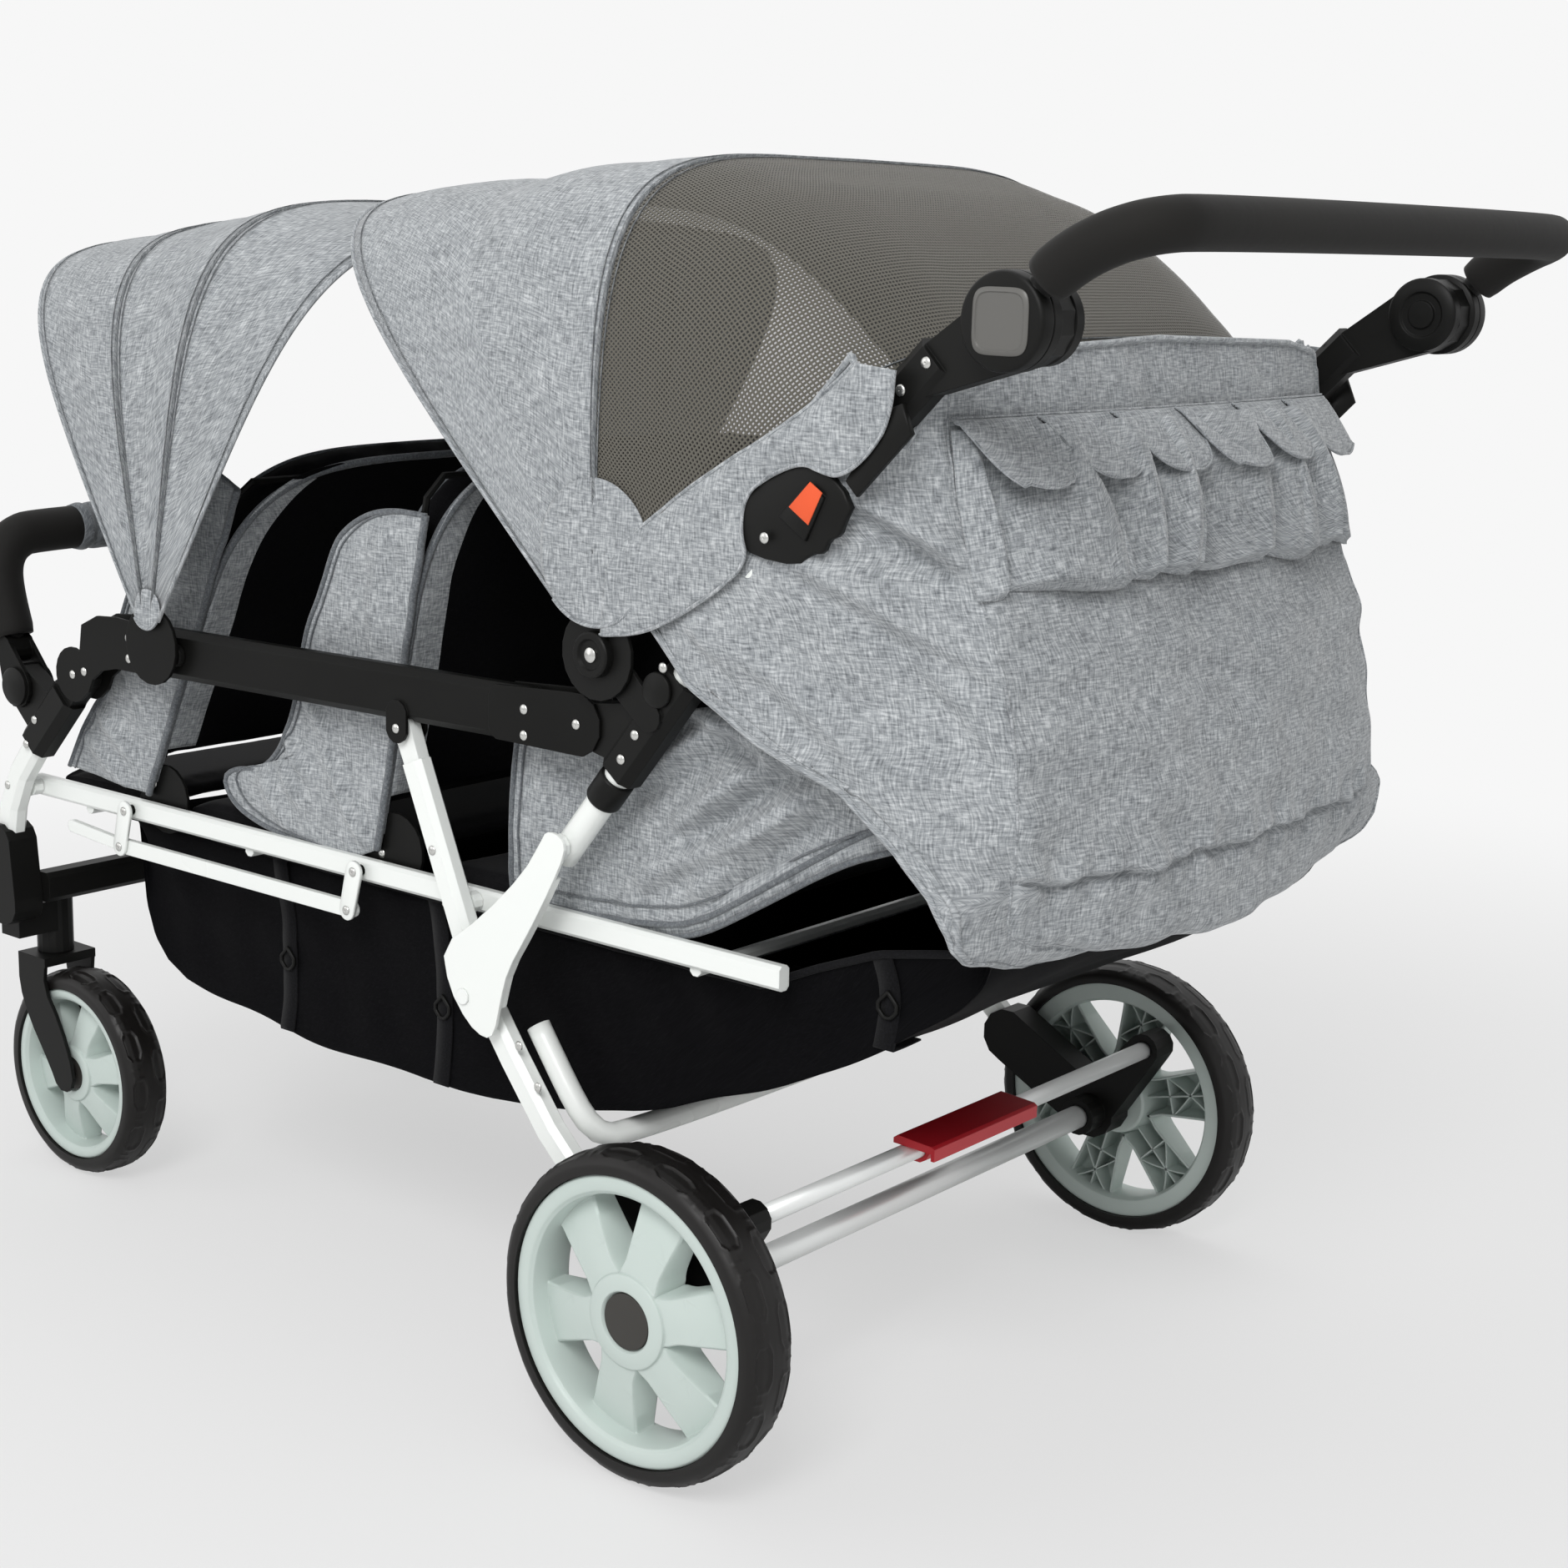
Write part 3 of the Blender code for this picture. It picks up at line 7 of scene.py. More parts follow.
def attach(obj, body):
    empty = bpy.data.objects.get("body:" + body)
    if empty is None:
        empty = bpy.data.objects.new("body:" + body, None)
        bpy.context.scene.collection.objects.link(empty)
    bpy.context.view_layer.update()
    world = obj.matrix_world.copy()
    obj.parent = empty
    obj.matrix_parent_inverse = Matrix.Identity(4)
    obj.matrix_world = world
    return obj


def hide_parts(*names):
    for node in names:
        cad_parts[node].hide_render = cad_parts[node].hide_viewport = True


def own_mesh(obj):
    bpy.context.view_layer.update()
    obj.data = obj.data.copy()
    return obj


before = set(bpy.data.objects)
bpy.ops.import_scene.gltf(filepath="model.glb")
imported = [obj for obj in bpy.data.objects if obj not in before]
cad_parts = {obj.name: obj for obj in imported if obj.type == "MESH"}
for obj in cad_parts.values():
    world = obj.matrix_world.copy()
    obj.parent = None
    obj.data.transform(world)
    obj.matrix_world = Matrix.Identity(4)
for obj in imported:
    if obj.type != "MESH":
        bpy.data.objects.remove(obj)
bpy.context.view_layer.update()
rearAxleY = 0.2765  # side places (y, z) below are measured from the rear axle's line, as in the part's source


# Surfaces: each is an array of points on a grid of two parameters, u along and v across

def patch(points, closedU=False, closedV=False, caps=False, inside=None, slot=0, level=None, chart=None):
    # Faces join each grid point to its neighbours; UV is each row's and column's own running length in metres, which
    # weaves follow, the two coordinates named by level for a piece nearly in their plane, or a chart given ready
    points = np.asarray(points, float)
    nu, nv = points.shape[:2]
    index = np.arange(nu * nv).reshape(nu, nv)
    ring = np.concatenate([points, points[:1]], 0) if closedU else points
    ring = np.concatenate([ring, ring[:, :1]], 1) if closedV else ring
    index = np.concatenate([index, index[:1]], 0) if closedU else index
    index = np.concatenate([index, index[:, :1]], 1) if closedV else index
    alongU = np.linalg.norm(np.diff(ring, axis=0), axis=2)
    alongV = np.linalg.norm(np.diff(ring, axis=1), axis=2)
    u = np.concatenate([0 * alongU[:1], np.cumsum(alongU, 0)], 0)
    v = np.concatenate([0 * alongV[:, :1], np.cumsum(alongV, 1)], 1)
    place = np.stack([u, v], 2) if level is None else ring[:, :, list(level)]
    place = place if chart is None else chart
    corners = [(slice(None, -1), slice(None, -1)), (slice(1, None), slice(None, -1)),
               (slice(1, None), slice(1, None)), (slice(None, -1), slice(1, None))]
    faces = np.stack([index[c] for c in corners], 2).reshape(-1, 4)
    uv = np.stack([place[c] for c in corners], 2).reshape(-1, 4, 2)
    flat = points.reshape(-1, 3)
    a, b, c, d = (flat[faces[:, k]] for k in range(4))
    normal = np.cross(c - a, d - b)
    middle = (a + b + c + d) / 4
    away = middle - (flat.mean(0) if inside is None else np.asarray(inside, float))
    turned = (normal * away).sum() < 0
    if turned:
        faces, uv = faces[:, ::-1], uv[:, ::-1]
    polygons, places = faces.tolist(), [uv.reshape(-1, 2)]
    if caps:
        first, last = index[0, :nv].tolist(), index[nu - 1, :nv].tolist()
        ends = [first[::-1], last] if turned else [first, last[::-1]]
        polygons += ends
        places += [flat[end][:, :2] for end in ends]
    return {"points": flat, "faces": polygons, "uv": np.concatenate(places), "slot": slot}


def addObject(name, data):
    made = bpy.data.objects.new(name, data)
    bpy.context.scene.collection.objects.link(made)
    return made


def makePiece(name, patches, materials, body, stands=(), thickness=0.0, sharp=None):
    # One object from several patches; Solidify gives cloth its thickness, inwards, and edges steeper than sharp
    # (degrees) aren't shaded round
    start, points, faces, uv, slots = 0, [], [], [], []
    for part in patches:
        points.append(part["points"])
        faces += [[i + start for i in face] for face in part["faces"]]
        slots += np.broadcast_to(part["slot"], len(part["faces"])).tolist()
        uv.append(part["uv"])
        start += len(part["points"])
    mesh = bpy.data.meshes.new(name)
    mesh.from_pydata(np.concatenate(points).tolist(), [], faces)
    layer = mesh.uv_layers.new(name="UVMap")
    layer.data.foreach_set("uv", np.concatenate(uv).ravel())
    mesh.polygons.foreach_set("material_index", slots)
    mesh.polygons.foreach_set("use_smooth", [True] * len(faces))
    for material in materials if isinstance(materials, (list, tuple)) else [materials]:
        mesh.materials.append(material)
    piece = addObject(name, mesh)
    if thickness:
        shell = piece.modifiers.new("wall", "SOLIDIFY")
        shell.thickness, shell.offset = thickness, -1.0
    if sharp:
        mesh.set_sharp_from_angle(angle=math.radians(sharp))
    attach(piece, body)
    if stands:
        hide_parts(*stands)
    return piece


sides = (("left", 1), ("right", -1))


def fromAxle(points):
    return np.asarray(points, float) + np.array([0, rearAxleY, 0])


def mirrored(half):
    # A path across the stroller from its left half, given as places measured from the axle
    return fromAxle(half + [(-x, y, z) for x, y, z in half[::-1]])


def rounded(path, rounds=3):
    # Cuts each corner of a path at a quarter and three quarters of its sides, keeping both ends
    path = np.asarray(path, float)
    for _ in range(rounds):
        cut = np.stack([0.75 * path[:-1] + 0.25 * path[1:], 0.25 * path[:-1] + 0.75 * path[1:]], 1)
        path = np.concatenate([path[:1], cut.reshape(-1, path.shape[1]), path[-1:]])
    return path


def spaced(path, count):
    # The same path with its points a constant distance apart
    path = np.asarray(path, float)
    at = np.concatenate([[0], np.cumsum(np.linalg.norm(np.diff(path, axis=0), axis=1))])
    want = np.linspace(0, at[-1], count)
    return np.stack([np.interp(want, at, path[:, k]) for k in range(path.shape[1])], 1)


def tube(path, radius, sides=24, reference=(0, 0, 1), caps=True, flat=1.0, closed=False, slot=0):
    # A circle of the given radius carried along the path; flat squeezes it along its second direction
    path = np.asarray(path, float)
    tangent = np.gradient(path, axis=0)
    if closed:
        tangent = np.roll(path, -1, 0) - np.roll(path, 1, 0)
    tangent /= np.linalg.norm(tangent, axis=1)[:, None]
    first = np.cross(tangent, np.asarray(reference, float))
    first /= np.linalg.norm(first, axis=1)[:, None]
    second = np.cross(tangent, first)
    turn = np.linspace(0, 2 * math.pi, sides, endpoint=False)
    size = np.broadcast_to(np.asarray(radius, float), (len(path),))[:, None, None]
    ring = first[:, None] * np.cos(turn)[None, :, None] + flat * second[:, None] * np.sin(turn)[None, :, None]
    points = path[:, None] + size * ring
    return patch(points, closedU=closed, closedV=True, caps=caps and not closed, slot=slot,
                 inside=None if not closed else path.mean(0))


def edging(line, radius, sides=10):
    # A thin round edge along a line that runs in a side plane
    return tube(line, radius, sides, reference=(1, 0, 0))


def facing(made):
    # Turns a closed patch right side out by the sign of its volume
    quads = np.array([face for face in made["faces"] if len(face) == 4])
    a, b, c, d = (made["points"][quads[:, k]] for k in range(4))
    if (a * np.cross(b, c)).sum() + (a * np.cross(c, d)).sum() < 0:
        made["faces"] = [face[::-1] for face in made["faces"]]
    return made


def lathe(profile, centre, turns=64, direction=(1, 0, 0), slot=0):
    # A profile of (along, radius) turned about an axis through the centre
    profile = np.asarray(profile, float)
    axis = np.asarray(direction, float) / np.linalg.norm(direction)
    first = np.cross(axis, (0, 0, 1) if abs(axis[2]) < 0.9 else (0, 1, 0))
    first /= np.linalg.norm(first)
    second = np.cross(axis, first)
    angle = np.linspace(0, 2 * math.pi, turns, endpoint=False)
    spoke = first[None] * np.cos(angle)[:, None] + second[None] * np.sin(angle)[:, None]
    points = (np.asarray(centre, float) + profile[None, :, :1] * axis + profile[None, :, 1:] * spoke[:, None])
    return facing(patch(points, closedU=True, closedV=True, slot=slot))


def ripple(points, seed, wavelength, waves=10):
    # A sum of sines in seeded directions: soft unevenness between -1 and 1
    chance = np.random.default_rng(seed)
    directions = chance.normal(size=(waves, 3))
    directions /= np.linalg.norm(directions, axis=1)[:, None]
    directions *= (2 * math.pi / wavelength) * chance.uniform(0.6, 1.5, (waves, 1))
    return np.sin(np.asarray(points) @ directions.T + chance.uniform(0, 6.28, waves)).mean(-1) * 1.8


def bump(distance, width):
    return np.exp(-(np.asarray(distance) / width) ** 2)


def outward(points, inside):
    # Unit normals of a grid of points, turned away from a place inside
    normal = np.cross(np.gradient(points, axis=0), np.gradient(points, axis=1))
    normal /= np.maximum(np.linalg.norm(normal, axis=2), 1e-12)[..., None]
    return normal * (-1.0 if (normal * (points - np.asarray(inside, float))).sum() < 0 else 1.0)


def crease(places, start, end, width):
    # A soft fold along a line in a plane: 1 on the line, fading sideways and towards both ends
    start, along = np.asarray(start, float), np.asarray(end, float) - np.asarray(start, float)
    share = ((places - start) @ along) / (along @ along)
    nearest = start + np.clip(share, 0, 1)[..., None] * along
    return bump(np.linalg.norm(places - nearest, axis=-1), width) * np.clip(1.2 - np.abs(share - 0.5) * 1.3, 0.2, 1)


def creases(places, folds, aside, share, pad=0.8):
    # Sum of folds (start, end, width, height), each with a trough beside it that takes this share of its height
    total = 0
    for start, end, width, height in folds:
        under = np.array(aside) * width
        total = total + height * (crease(places, start, end, width) - share * crease(
            places, np.add(start, under), np.add(end, under), width * pad))
    return total


def plate(outline, low, high, edge=0.0008, side=1, slot=0):
    # A flat plate across the stroller: the outline's (y, z) at x from low to high, its outer edge eased
    outline = np.asarray(outline, float)
    middle = outline.mean(0)
    rows = []
    for x, pull in ((low, 0.0), (high - edge, 0.0), (high - edge * 0.3, 0.35), (high, 1.0)):
        away = outline - middle
        shrunk = middle + away * (1 - pull * edge / np.maximum(np.linalg.norm(away, axis=1), 1e-6))[:, None]
        rows.append(np.concatenate([np.full((len(outline), 1), side * x), shrunk], 1))
    return facing(patch(fromAxle(np.array(rows)), closedV=True, caps=True, slot=slot))


def hull(discs, count=24):
    # Outline round several discs (y, z, radius), anticlockwise
    turn = np.linspace(0, 2 * math.pi, count, endpoint=False)
    points = np.concatenate([np.stack([y + r * np.cos(turn), z + r * np.sin(turn)], 1) for y, z, r in discs])
    points = points[np.lexsort((points[:, 1], points[:, 0]))]
    chains = []
    for run in (points, points[::-1]):
        chain = []
        for p in run:
            while len(chain) > 1 and np.cross(chain[-1] - chain[-2], p - chain[-2]) <= 1e-12:
                chain.pop()
            chain.append(p)
        chains += chain[:-1]
    return np.array(chains)


# Materials

def hexColour(text):
    # sRGB hex to the linear values that Blender's sockets take
    value = np.array([int(text[i:i + 2], 16) for i in (1, 3, 5)]) / 255
    value = np.where(value <= 0.04045, value / 12.92, ((value + 0.055) / 1.055) ** 2.4)
    return (*value.tolist(), 1.0)


def addNode(tree, kind, settings=None, links=None):
    node = tree.nodes.new(kind)
    for key, value in (settings or {}).items():
        if isinstance(key, str) and hasattr(node, key):
            setattr(node, key, value)
        else:
            node.inputs[key].default_value = value
    for key, source in (links or {}).items():
        tree.links.new(source, node.inputs[key])
    return node


def calc(tree, operation, *values):
    # Output of a Math node; each value is a number or a socket
    node = addNode(tree, "ShaderNodeMath", {"operation": operation})
    for k, value in enumerate(values):
        if isinstance(value, float):
            node.inputs[k].default_value = value
        else:
            tree.links.new(value, node.inputs[k])
    return node.outputs[0]


def spread(tree, value, low, high, settings=None):
    # Takes 0 to 1 to the range from low to high
    settings = {"To Min": low, "To Max": high, **(settings or {})}
    return addNode(tree, "ShaderNodeMapRange", settings, {"Value": value}).outputs["Result"]


def newMaterial(name, colour, roughness, metallic=0.0, **sockets):
    material = bpy.data.materials.new(name)
    material.use_nodes = True
    tree = material.node_tree
    shader = tree.nodes["Principled BSDF"]
    shader.inputs["Base Color"].default_value = hexColour(colour)
    shader.inputs["Roughness"].default_value = roughness
    shader.inputs["Metallic"].default_value = metallic
    for key, value in sockets.items():
        shader.inputs[key.replace("_", " ")].default_value = value
    return material, tree, shader


def colourSteps(tree, factor, steps):
    # A ramp through sRGB hex colours at the given places
    node = addNode(tree, "ShaderNodeValToRGB", links={"Fac": factor})
    ramp = node.color_ramp
    while len(ramp.elements) < len(steps):
        ramp.elements.new(0.5)
    for element, (place, colour) in zip(ramp.elements, steps):
        element.position = place
        element.color = hexColour(colour)
    return node.outputs["Color"]


def clothMaterial(name, steps, source="UV", threadMm=1.7, slubMm=11.0, depth=0.00022, sheen=0.25, gloss=0.25,
                  roughness=0.9):
    # Woven polyester melange: threads of two dyes cross, so short streaks of light and dark run both ways.
    # Real threads are 0.4 mm; they are drawn 1.7 mm wide, which is the finest that shows in the render.
    material, tree, shader = newMaterial(name, steps[1][1], roughness, Sheen_Weight=sheen, Sheen_Roughness=0.5,
                                         Specular_IOR_Level=gloss)
    place = addNode(tree, "ShaderNodeTexCoord").outputs[source]
    fine, long = 1000 / threadMm, 1000 / slubMm
    warps = []
    for scale in ((fine, long, long), (long, fine, fine)):
        mapped = addNode(tree, "ShaderNodeMapping", {"Scale": scale}, {"Vector": place})
        warps.append(addNode(tree, "ShaderNodeTexNoise", {"Scale": 1.0, "Detail": 2.0, "Roughness": 0.6},
                             {"Vector": mapped.outputs["Vector"]}).outputs["Fac"])
    halved = calc(tree, "MULTIPLY", calc(tree, "ADD", *warps), 0.5)
    cloud = addNode(tree, "ShaderNodeTexNoise", {"Scale": 28.0, "Detail": 2.0}, {"Vector": place})
    shade = calc(tree, "MULTIPLY_ADD", cloud.outputs["Fac"], 0.12, -0.06)
    tree.links.new(colourSteps(tree, calc(tree, "ADD", halved, shade), steps), shader.inputs["Base Color"])
    relief = addNode(tree, "ShaderNodeBump", {"Strength": 0.6, "Distance": depth}, {"Height": halved})
    tree.links.new(relief.outputs["Normal"], shader.inputs["Normal"])
    return material


def mouldedMaterial(name, colour, roughness, grainMm=1.2, depth=0.00004, edge=0.0012, metallic=0.0, wear=None,
                    **sockets):
    # Moulded or coated surface: fine grain in the gloss, and soft edges by the Bevel node
    material, tree, shader = newMaterial(name, colour, roughness, metallic, **sockets)
    place = addNode(tree, "ShaderNodeTexCoord").outputs["Object"]
    grain = addNode(tree, "ShaderNodeTexNoise", {"Scale": 1000 / grainMm / 6, "Detail": 3.0}, {"Vector": place})
    cloud = addNode(tree, "ShaderNodeTexNoise", {"Scale": 9.0, "Detail": 2.0}, {"Vector": place})
    gloss = spread(tree, cloud.outputs["Fac"], roughness - 0.07, roughness + 0.07)
    tree.links.new(gloss, shader.inputs["Roughness"])
    if wear:
        tree.links.new(colourSteps(tree, cloud.outputs["Fac"], ((0.3, colour), (0.72, wear))),
                       shader.inputs["Base Color"])
    soft = addNode(tree, "ShaderNodeBevel", {"samples": 4, "Radius": edge})
    relief = addNode(tree, "ShaderNodeBump", {"Strength": 0.5, "Distance": depth},
                     {"Height": grain.outputs["Fac"], "Normal": soft.outputs["Normal"]})
    tree.links.new(relief.outputs["Normal"], shader.inputs["Normal"])
    return material


melange = clothMaterial("melange_polyester_woven", ((0.33, "#62666a"), (0.5, "#969a9d"), (0.67, "#c6c9cb")))
melangeDark = clothMaterial("melange_polyester_shaded", ((0.33, "#4a4d51"), (0.5, "#6d7175"), (0.67, "#95999c")))
blackCloth = clothMaterial("oxford_nylon_black", ((0.3, "#060607"), (0.5, "#0c0c0e"), (0.7, "#151518")), "Object",
                           threadMm=1.5, slubMm=5.0, sheen=0.03, gloss=0.12, roughness=0.82)
blackSheet = clothMaterial("oxford_nylon_black_sheet", ((0.3, "#040405"), (0.5, "#08080a"), (0.7, "#101012")),
                           threadMm=1.5, slubMm=6.0, sheen=0.01, gloss=0.05, roughness=0.8)
piping = clothMaterial("binding_tape_dark", ((0.3, "#4a4e52"), (0.5, "#64686c"), (0.7, "#84888b")), "Object",
                       threadMm=1.4, slubMm=3.0)
webbing = clothMaterial("polypropylene_webbing", ((0.3, "#09090a"), (0.5, "#111113"), (0.7, "#1b1b1e")),
                        threadMm=1.8, slubMm=2.2, depth=0.0004, sheen=0.03, gloss=0.12)
whitePaint = mouldedMaterial("powder_coated_steel_white", "#eef1ee", 0.30, grainMm=2.5, depth=0.00001,
                             Coat_Weight=0.25, Coat_Roughness=0.15)
blackPaint = mouldedMaterial("powder_coated_steel_black", "#0c0c0b", 0.42, grainMm=1.4, wear="#121211",
                             Specular_IOR_Level=0.12)
blackNylon = mouldedMaterial("glass_filled_nylon_black", "#0d0d0c", 0.46, grainMm=1.2, wear="#141413",
                             Specular_IOR_Level=0.16)
hubPlastic = mouldedMaterial("abs_dark_grey_moulded", "#33322f", 0.5, wear="#3c3a37", Specular_IOR_Level=0.3)
buttonPlastic = mouldedMaterial("abs_grey_moulded_satin", "#5a5956", 0.42, edge=0.0006)
rimPlastic = mouldedMaterial("polypropylene_pale_grey_moulded", "#c6d1cc", 0.4, grainMm=1.8, edge=0.002,
                             wear="#bfcbc6")
bareTube = mouldedMaterial("anodised_aluminium_drawn", "#eef0ef", 0.34, metallic=0.35, grainMm=2.0)
redNylon = mouldedMaterial("polypropylene_red_moulded", "#c41f2b", 0.36, wear="#b81a26")
evaFoam = mouldedMaterial("eva_foam_black", "#141312", 0.78, grainMm=1.6, depth=0.0003, wear="#1c1b19",
                          Sheen_Weight=0.05, Specular_IOR_Level=0.2)
tyreRubber = mouldedMaterial("foamed_polyurethane_tyre", "#12100f", 0.42, grainMm=1.5, depth=0.00006, edge=0.0006,
                             Specular_IOR_Level=0.3)
rivetSteel = mouldedMaterial("nickel_plated_steel_rivet", "#c9c9c6", 0.28, metallic=1.0, edge=0.0004)
orangePatch = mouldedMaterial("woven_label_orange", "#e0562a", 0.7)


def netMaterial():
    # Knitted polyester net: square holes 1.6 mm wide between yarns, drawn at 3.4 mm so that they show
    holes = {"pitchMm": 3.4, "yarnShare": 0.40, "clear": 0.30}
    material, tree, shader = newMaterial("polyester_net_taupe", "#615c54", 0.85, Sheen_Weight=0.2)
    place = addNode(tree, "ShaderNodeTexCoord").outputs["UV"]
    rate = 1000 / holes["pitchMm"]
    mapped = addNode(tree, "ShaderNodeMapping", {"Scale": (rate, rate, rate)}, {"Vector": place})
    split = addNode(tree, "ShaderNodeSeparateXYZ", links={"Vector": mapped.outputs["Vector"]})
    walls = [calc(tree, "LESS_THAN", calc(tree, "FRACT", split.outputs[axis]), holes["yarnShare"])
             for axis in ("X", "Y")]
    yarn = calc(tree, "MAXIMUM", *walls)
    tree.links.new(spread(tree, yarn, holes["clear"], 1.0), shader.inputs["Alpha"])
    tree.links.new(colourSteps(tree, yarn, ((0.0, "#35332f"), (1.0, "#5a574f"))), shader.inputs["Base Color"])
    return material


net = netMaterial()
print("materials made")


# Stage, camera and light

paper = {"near": "#f2f2f2", "far": 0.93, "fadeFrom": 0.7, "fadeTo": 2.6, "plain": 0.81, "share": 0.68, "world": 0.46,
         "size": 14.0, "below": -0.0005}


def makeCamera():
    view = {"place": (1.6974, 1.4930, 0.9513), "yaw": 0.8897, "pitch": 0.2149, "roll": 0.0275, "lens": 57.84}
    forward = Vector((-math.sin(view["yaw"]) * math.cos(view["pitch"]),
                      -math.cos(view["yaw"]) * math.cos(view["pitch"]), -math.sin(view["pitch"])))
    right = forward.cross(Vector((0, 0, 1))).normalized()
    up = right.cross(forward)
    c, s = math.cos(view["roll"]), math.sin(view["roll"])
    turnedRight, turnedUp = right * c + up * s, up * c - right * s
    data = bpy.data.cameras.new("camera")
    data.lens, data.sensor_width, data.sensor_fit = view["lens"], 36.0, "HORIZONTAL"
    camera = addObject("camera", data)
    camera.matrix_world = Matrix.Translation(view["place"]) @ Matrix(
        (turnedRight, turnedUp, -forward)).transposed().to_4x4()
    bpy.context.scene.camera = camera
    bpy.context.scene.view_settings.view_transform = "Standard"


def makeFloor():
    # Pale floor that keeps the shadow near the stroller and turns into the backdrop's own white further out
    floorMaterial, tree, shader = newMaterial("paper_backdrop_pale", paper["near"], 0.95)
    place = addNode(tree, "ShaderNodeTexCoord").outputs["Object"]
    reach = addNode(tree, "ShaderNodeVectorMath", {"operation": "LENGTH"}, {0: place})
    fade = spread(tree, reach.outputs["Value"], 0.0, 1.0, {
        "interpolation_type": "SMOOTHSTEP", "From Min": paper["fadeFrom"], "From Max": paper["fadeTo"]})
    path = addNode(tree, "ShaderNodeLightPath")
    seen = calc(tree, "MULTIPLY", spread(tree, fade, paper["share"], 1.0), path.outputs["Is Camera Ray"])
    white = addNode(tree, "ShaderNodeEmission", {"Color": (1, 1, 1, 1)},
                    {"Strength": spread(tree, fade, paper["plain"], paper["far"])})
    mixed = addNode(tree, "ShaderNodeMixShader", links={0: seen, 1: shader.outputs[0], 2: white.outputs[0]})
    tree.links.new(mixed.outputs[0], tree.nodes["Material Output"].inputs["Surface"])
    mesh = bpy.data.meshes.new("floor")
    size, depth = paper["size"], paper["below"]
    mesh.from_pydata([(-size, -size, depth), (size, -size, depth), (size, size, depth), (-size, size, depth)], [],
                     [(0, 1, 2, 3)])
    mesh.materials.append(floorMaterial)
    addObject("floor", mesh)


def makeLight():
    world = bpy.data.worlds.new("studio")
    bpy.context.scene.world = world
    world.use_nodes = True
    tree = world.node_tree
    back = tree.nodes["Background"]
    path = addNode(tree, "ShaderNodeLightPath")
    seen = calc(tree, "MAXIMUM", calc(tree, "MAXIMUM", path.outputs["Is Camera Ray"], path.outputs["Is Glossy Ray"]),
                path.outputs["Is Transmission Ray"])
    tree.links.new(spread(tree, seen, paper["world"], paper["far"]), back.inputs["Strength"])
    back.inputs["Color"].default_value = (1, 1, 1, 1)
    lamps = (("key", (2.9, 1.6, 3.0), 1.6, 96), ("fill", (3.0, -2.4, 1.8), 2.6, 20),
             ("top", (-0.6, -0.4, 3.6), 2.4, 24))
    for name, place, size, power in lamps:
        light = bpy.data.lights.new(name, "AREA")
        light.size, light.energy = size, power
        lamp = addObject(name, light)
        lamp.location = place
        lamp.rotation_euler = (Vector((0, 0, 0.45)) - Vector(place)).to_track_quat("-Z", "Y").to_euler()


makeCamera()
makeFloor()
makeLight()
print("stage made")


# Wheels: dished rim with six wide spokes, hub cap, and a tyre with raised tread panels

def makeWheels():
    sizes = {
        "rear": {"centre": (0.350, 0.0, 0.134), "radius": 0.134, "width": 0.050, "tyreDepth": 0.0175, "ring": 0.0165,
                 "hub": 0.0385, "cap": 0.0235, "panels": 15, "panelLong": 0.036, "panelWide": 0.0155, "turn": 0.26,
                 "spokeHub": 0.0165, "spokeRim": 0.0255},
        "front": {"centre": (0.2475, -0.856, 0.105), "radius": 0.105, "width": 0.047, "tyreDepth": 0.0175,
                  "ring": 0.0120, "hub": 0.0285, "cap": 0.0170, "panels": 13, "panelLong": 0.0325,
                  "panelWide": 0.0145, "turn": 0.26, "spokeHub": 0.0120, "spokeRim": 0.0190},
    }
    for end, wheel in sizes.items():
        for side, sign in sides:
            centre = fromAxle(wheel["centre"]) * np.array([sign, 1, 1])
            makeTyre(f"{end}_{side}", centre, wheel, f"{end}_wheel_{side}", f"{end}_tyre_{side}")
            makeRim(f"{end}_{side}", sign, centre, wheel, f"{end}_wheel_{side}", f"{end}_rim_{side}")


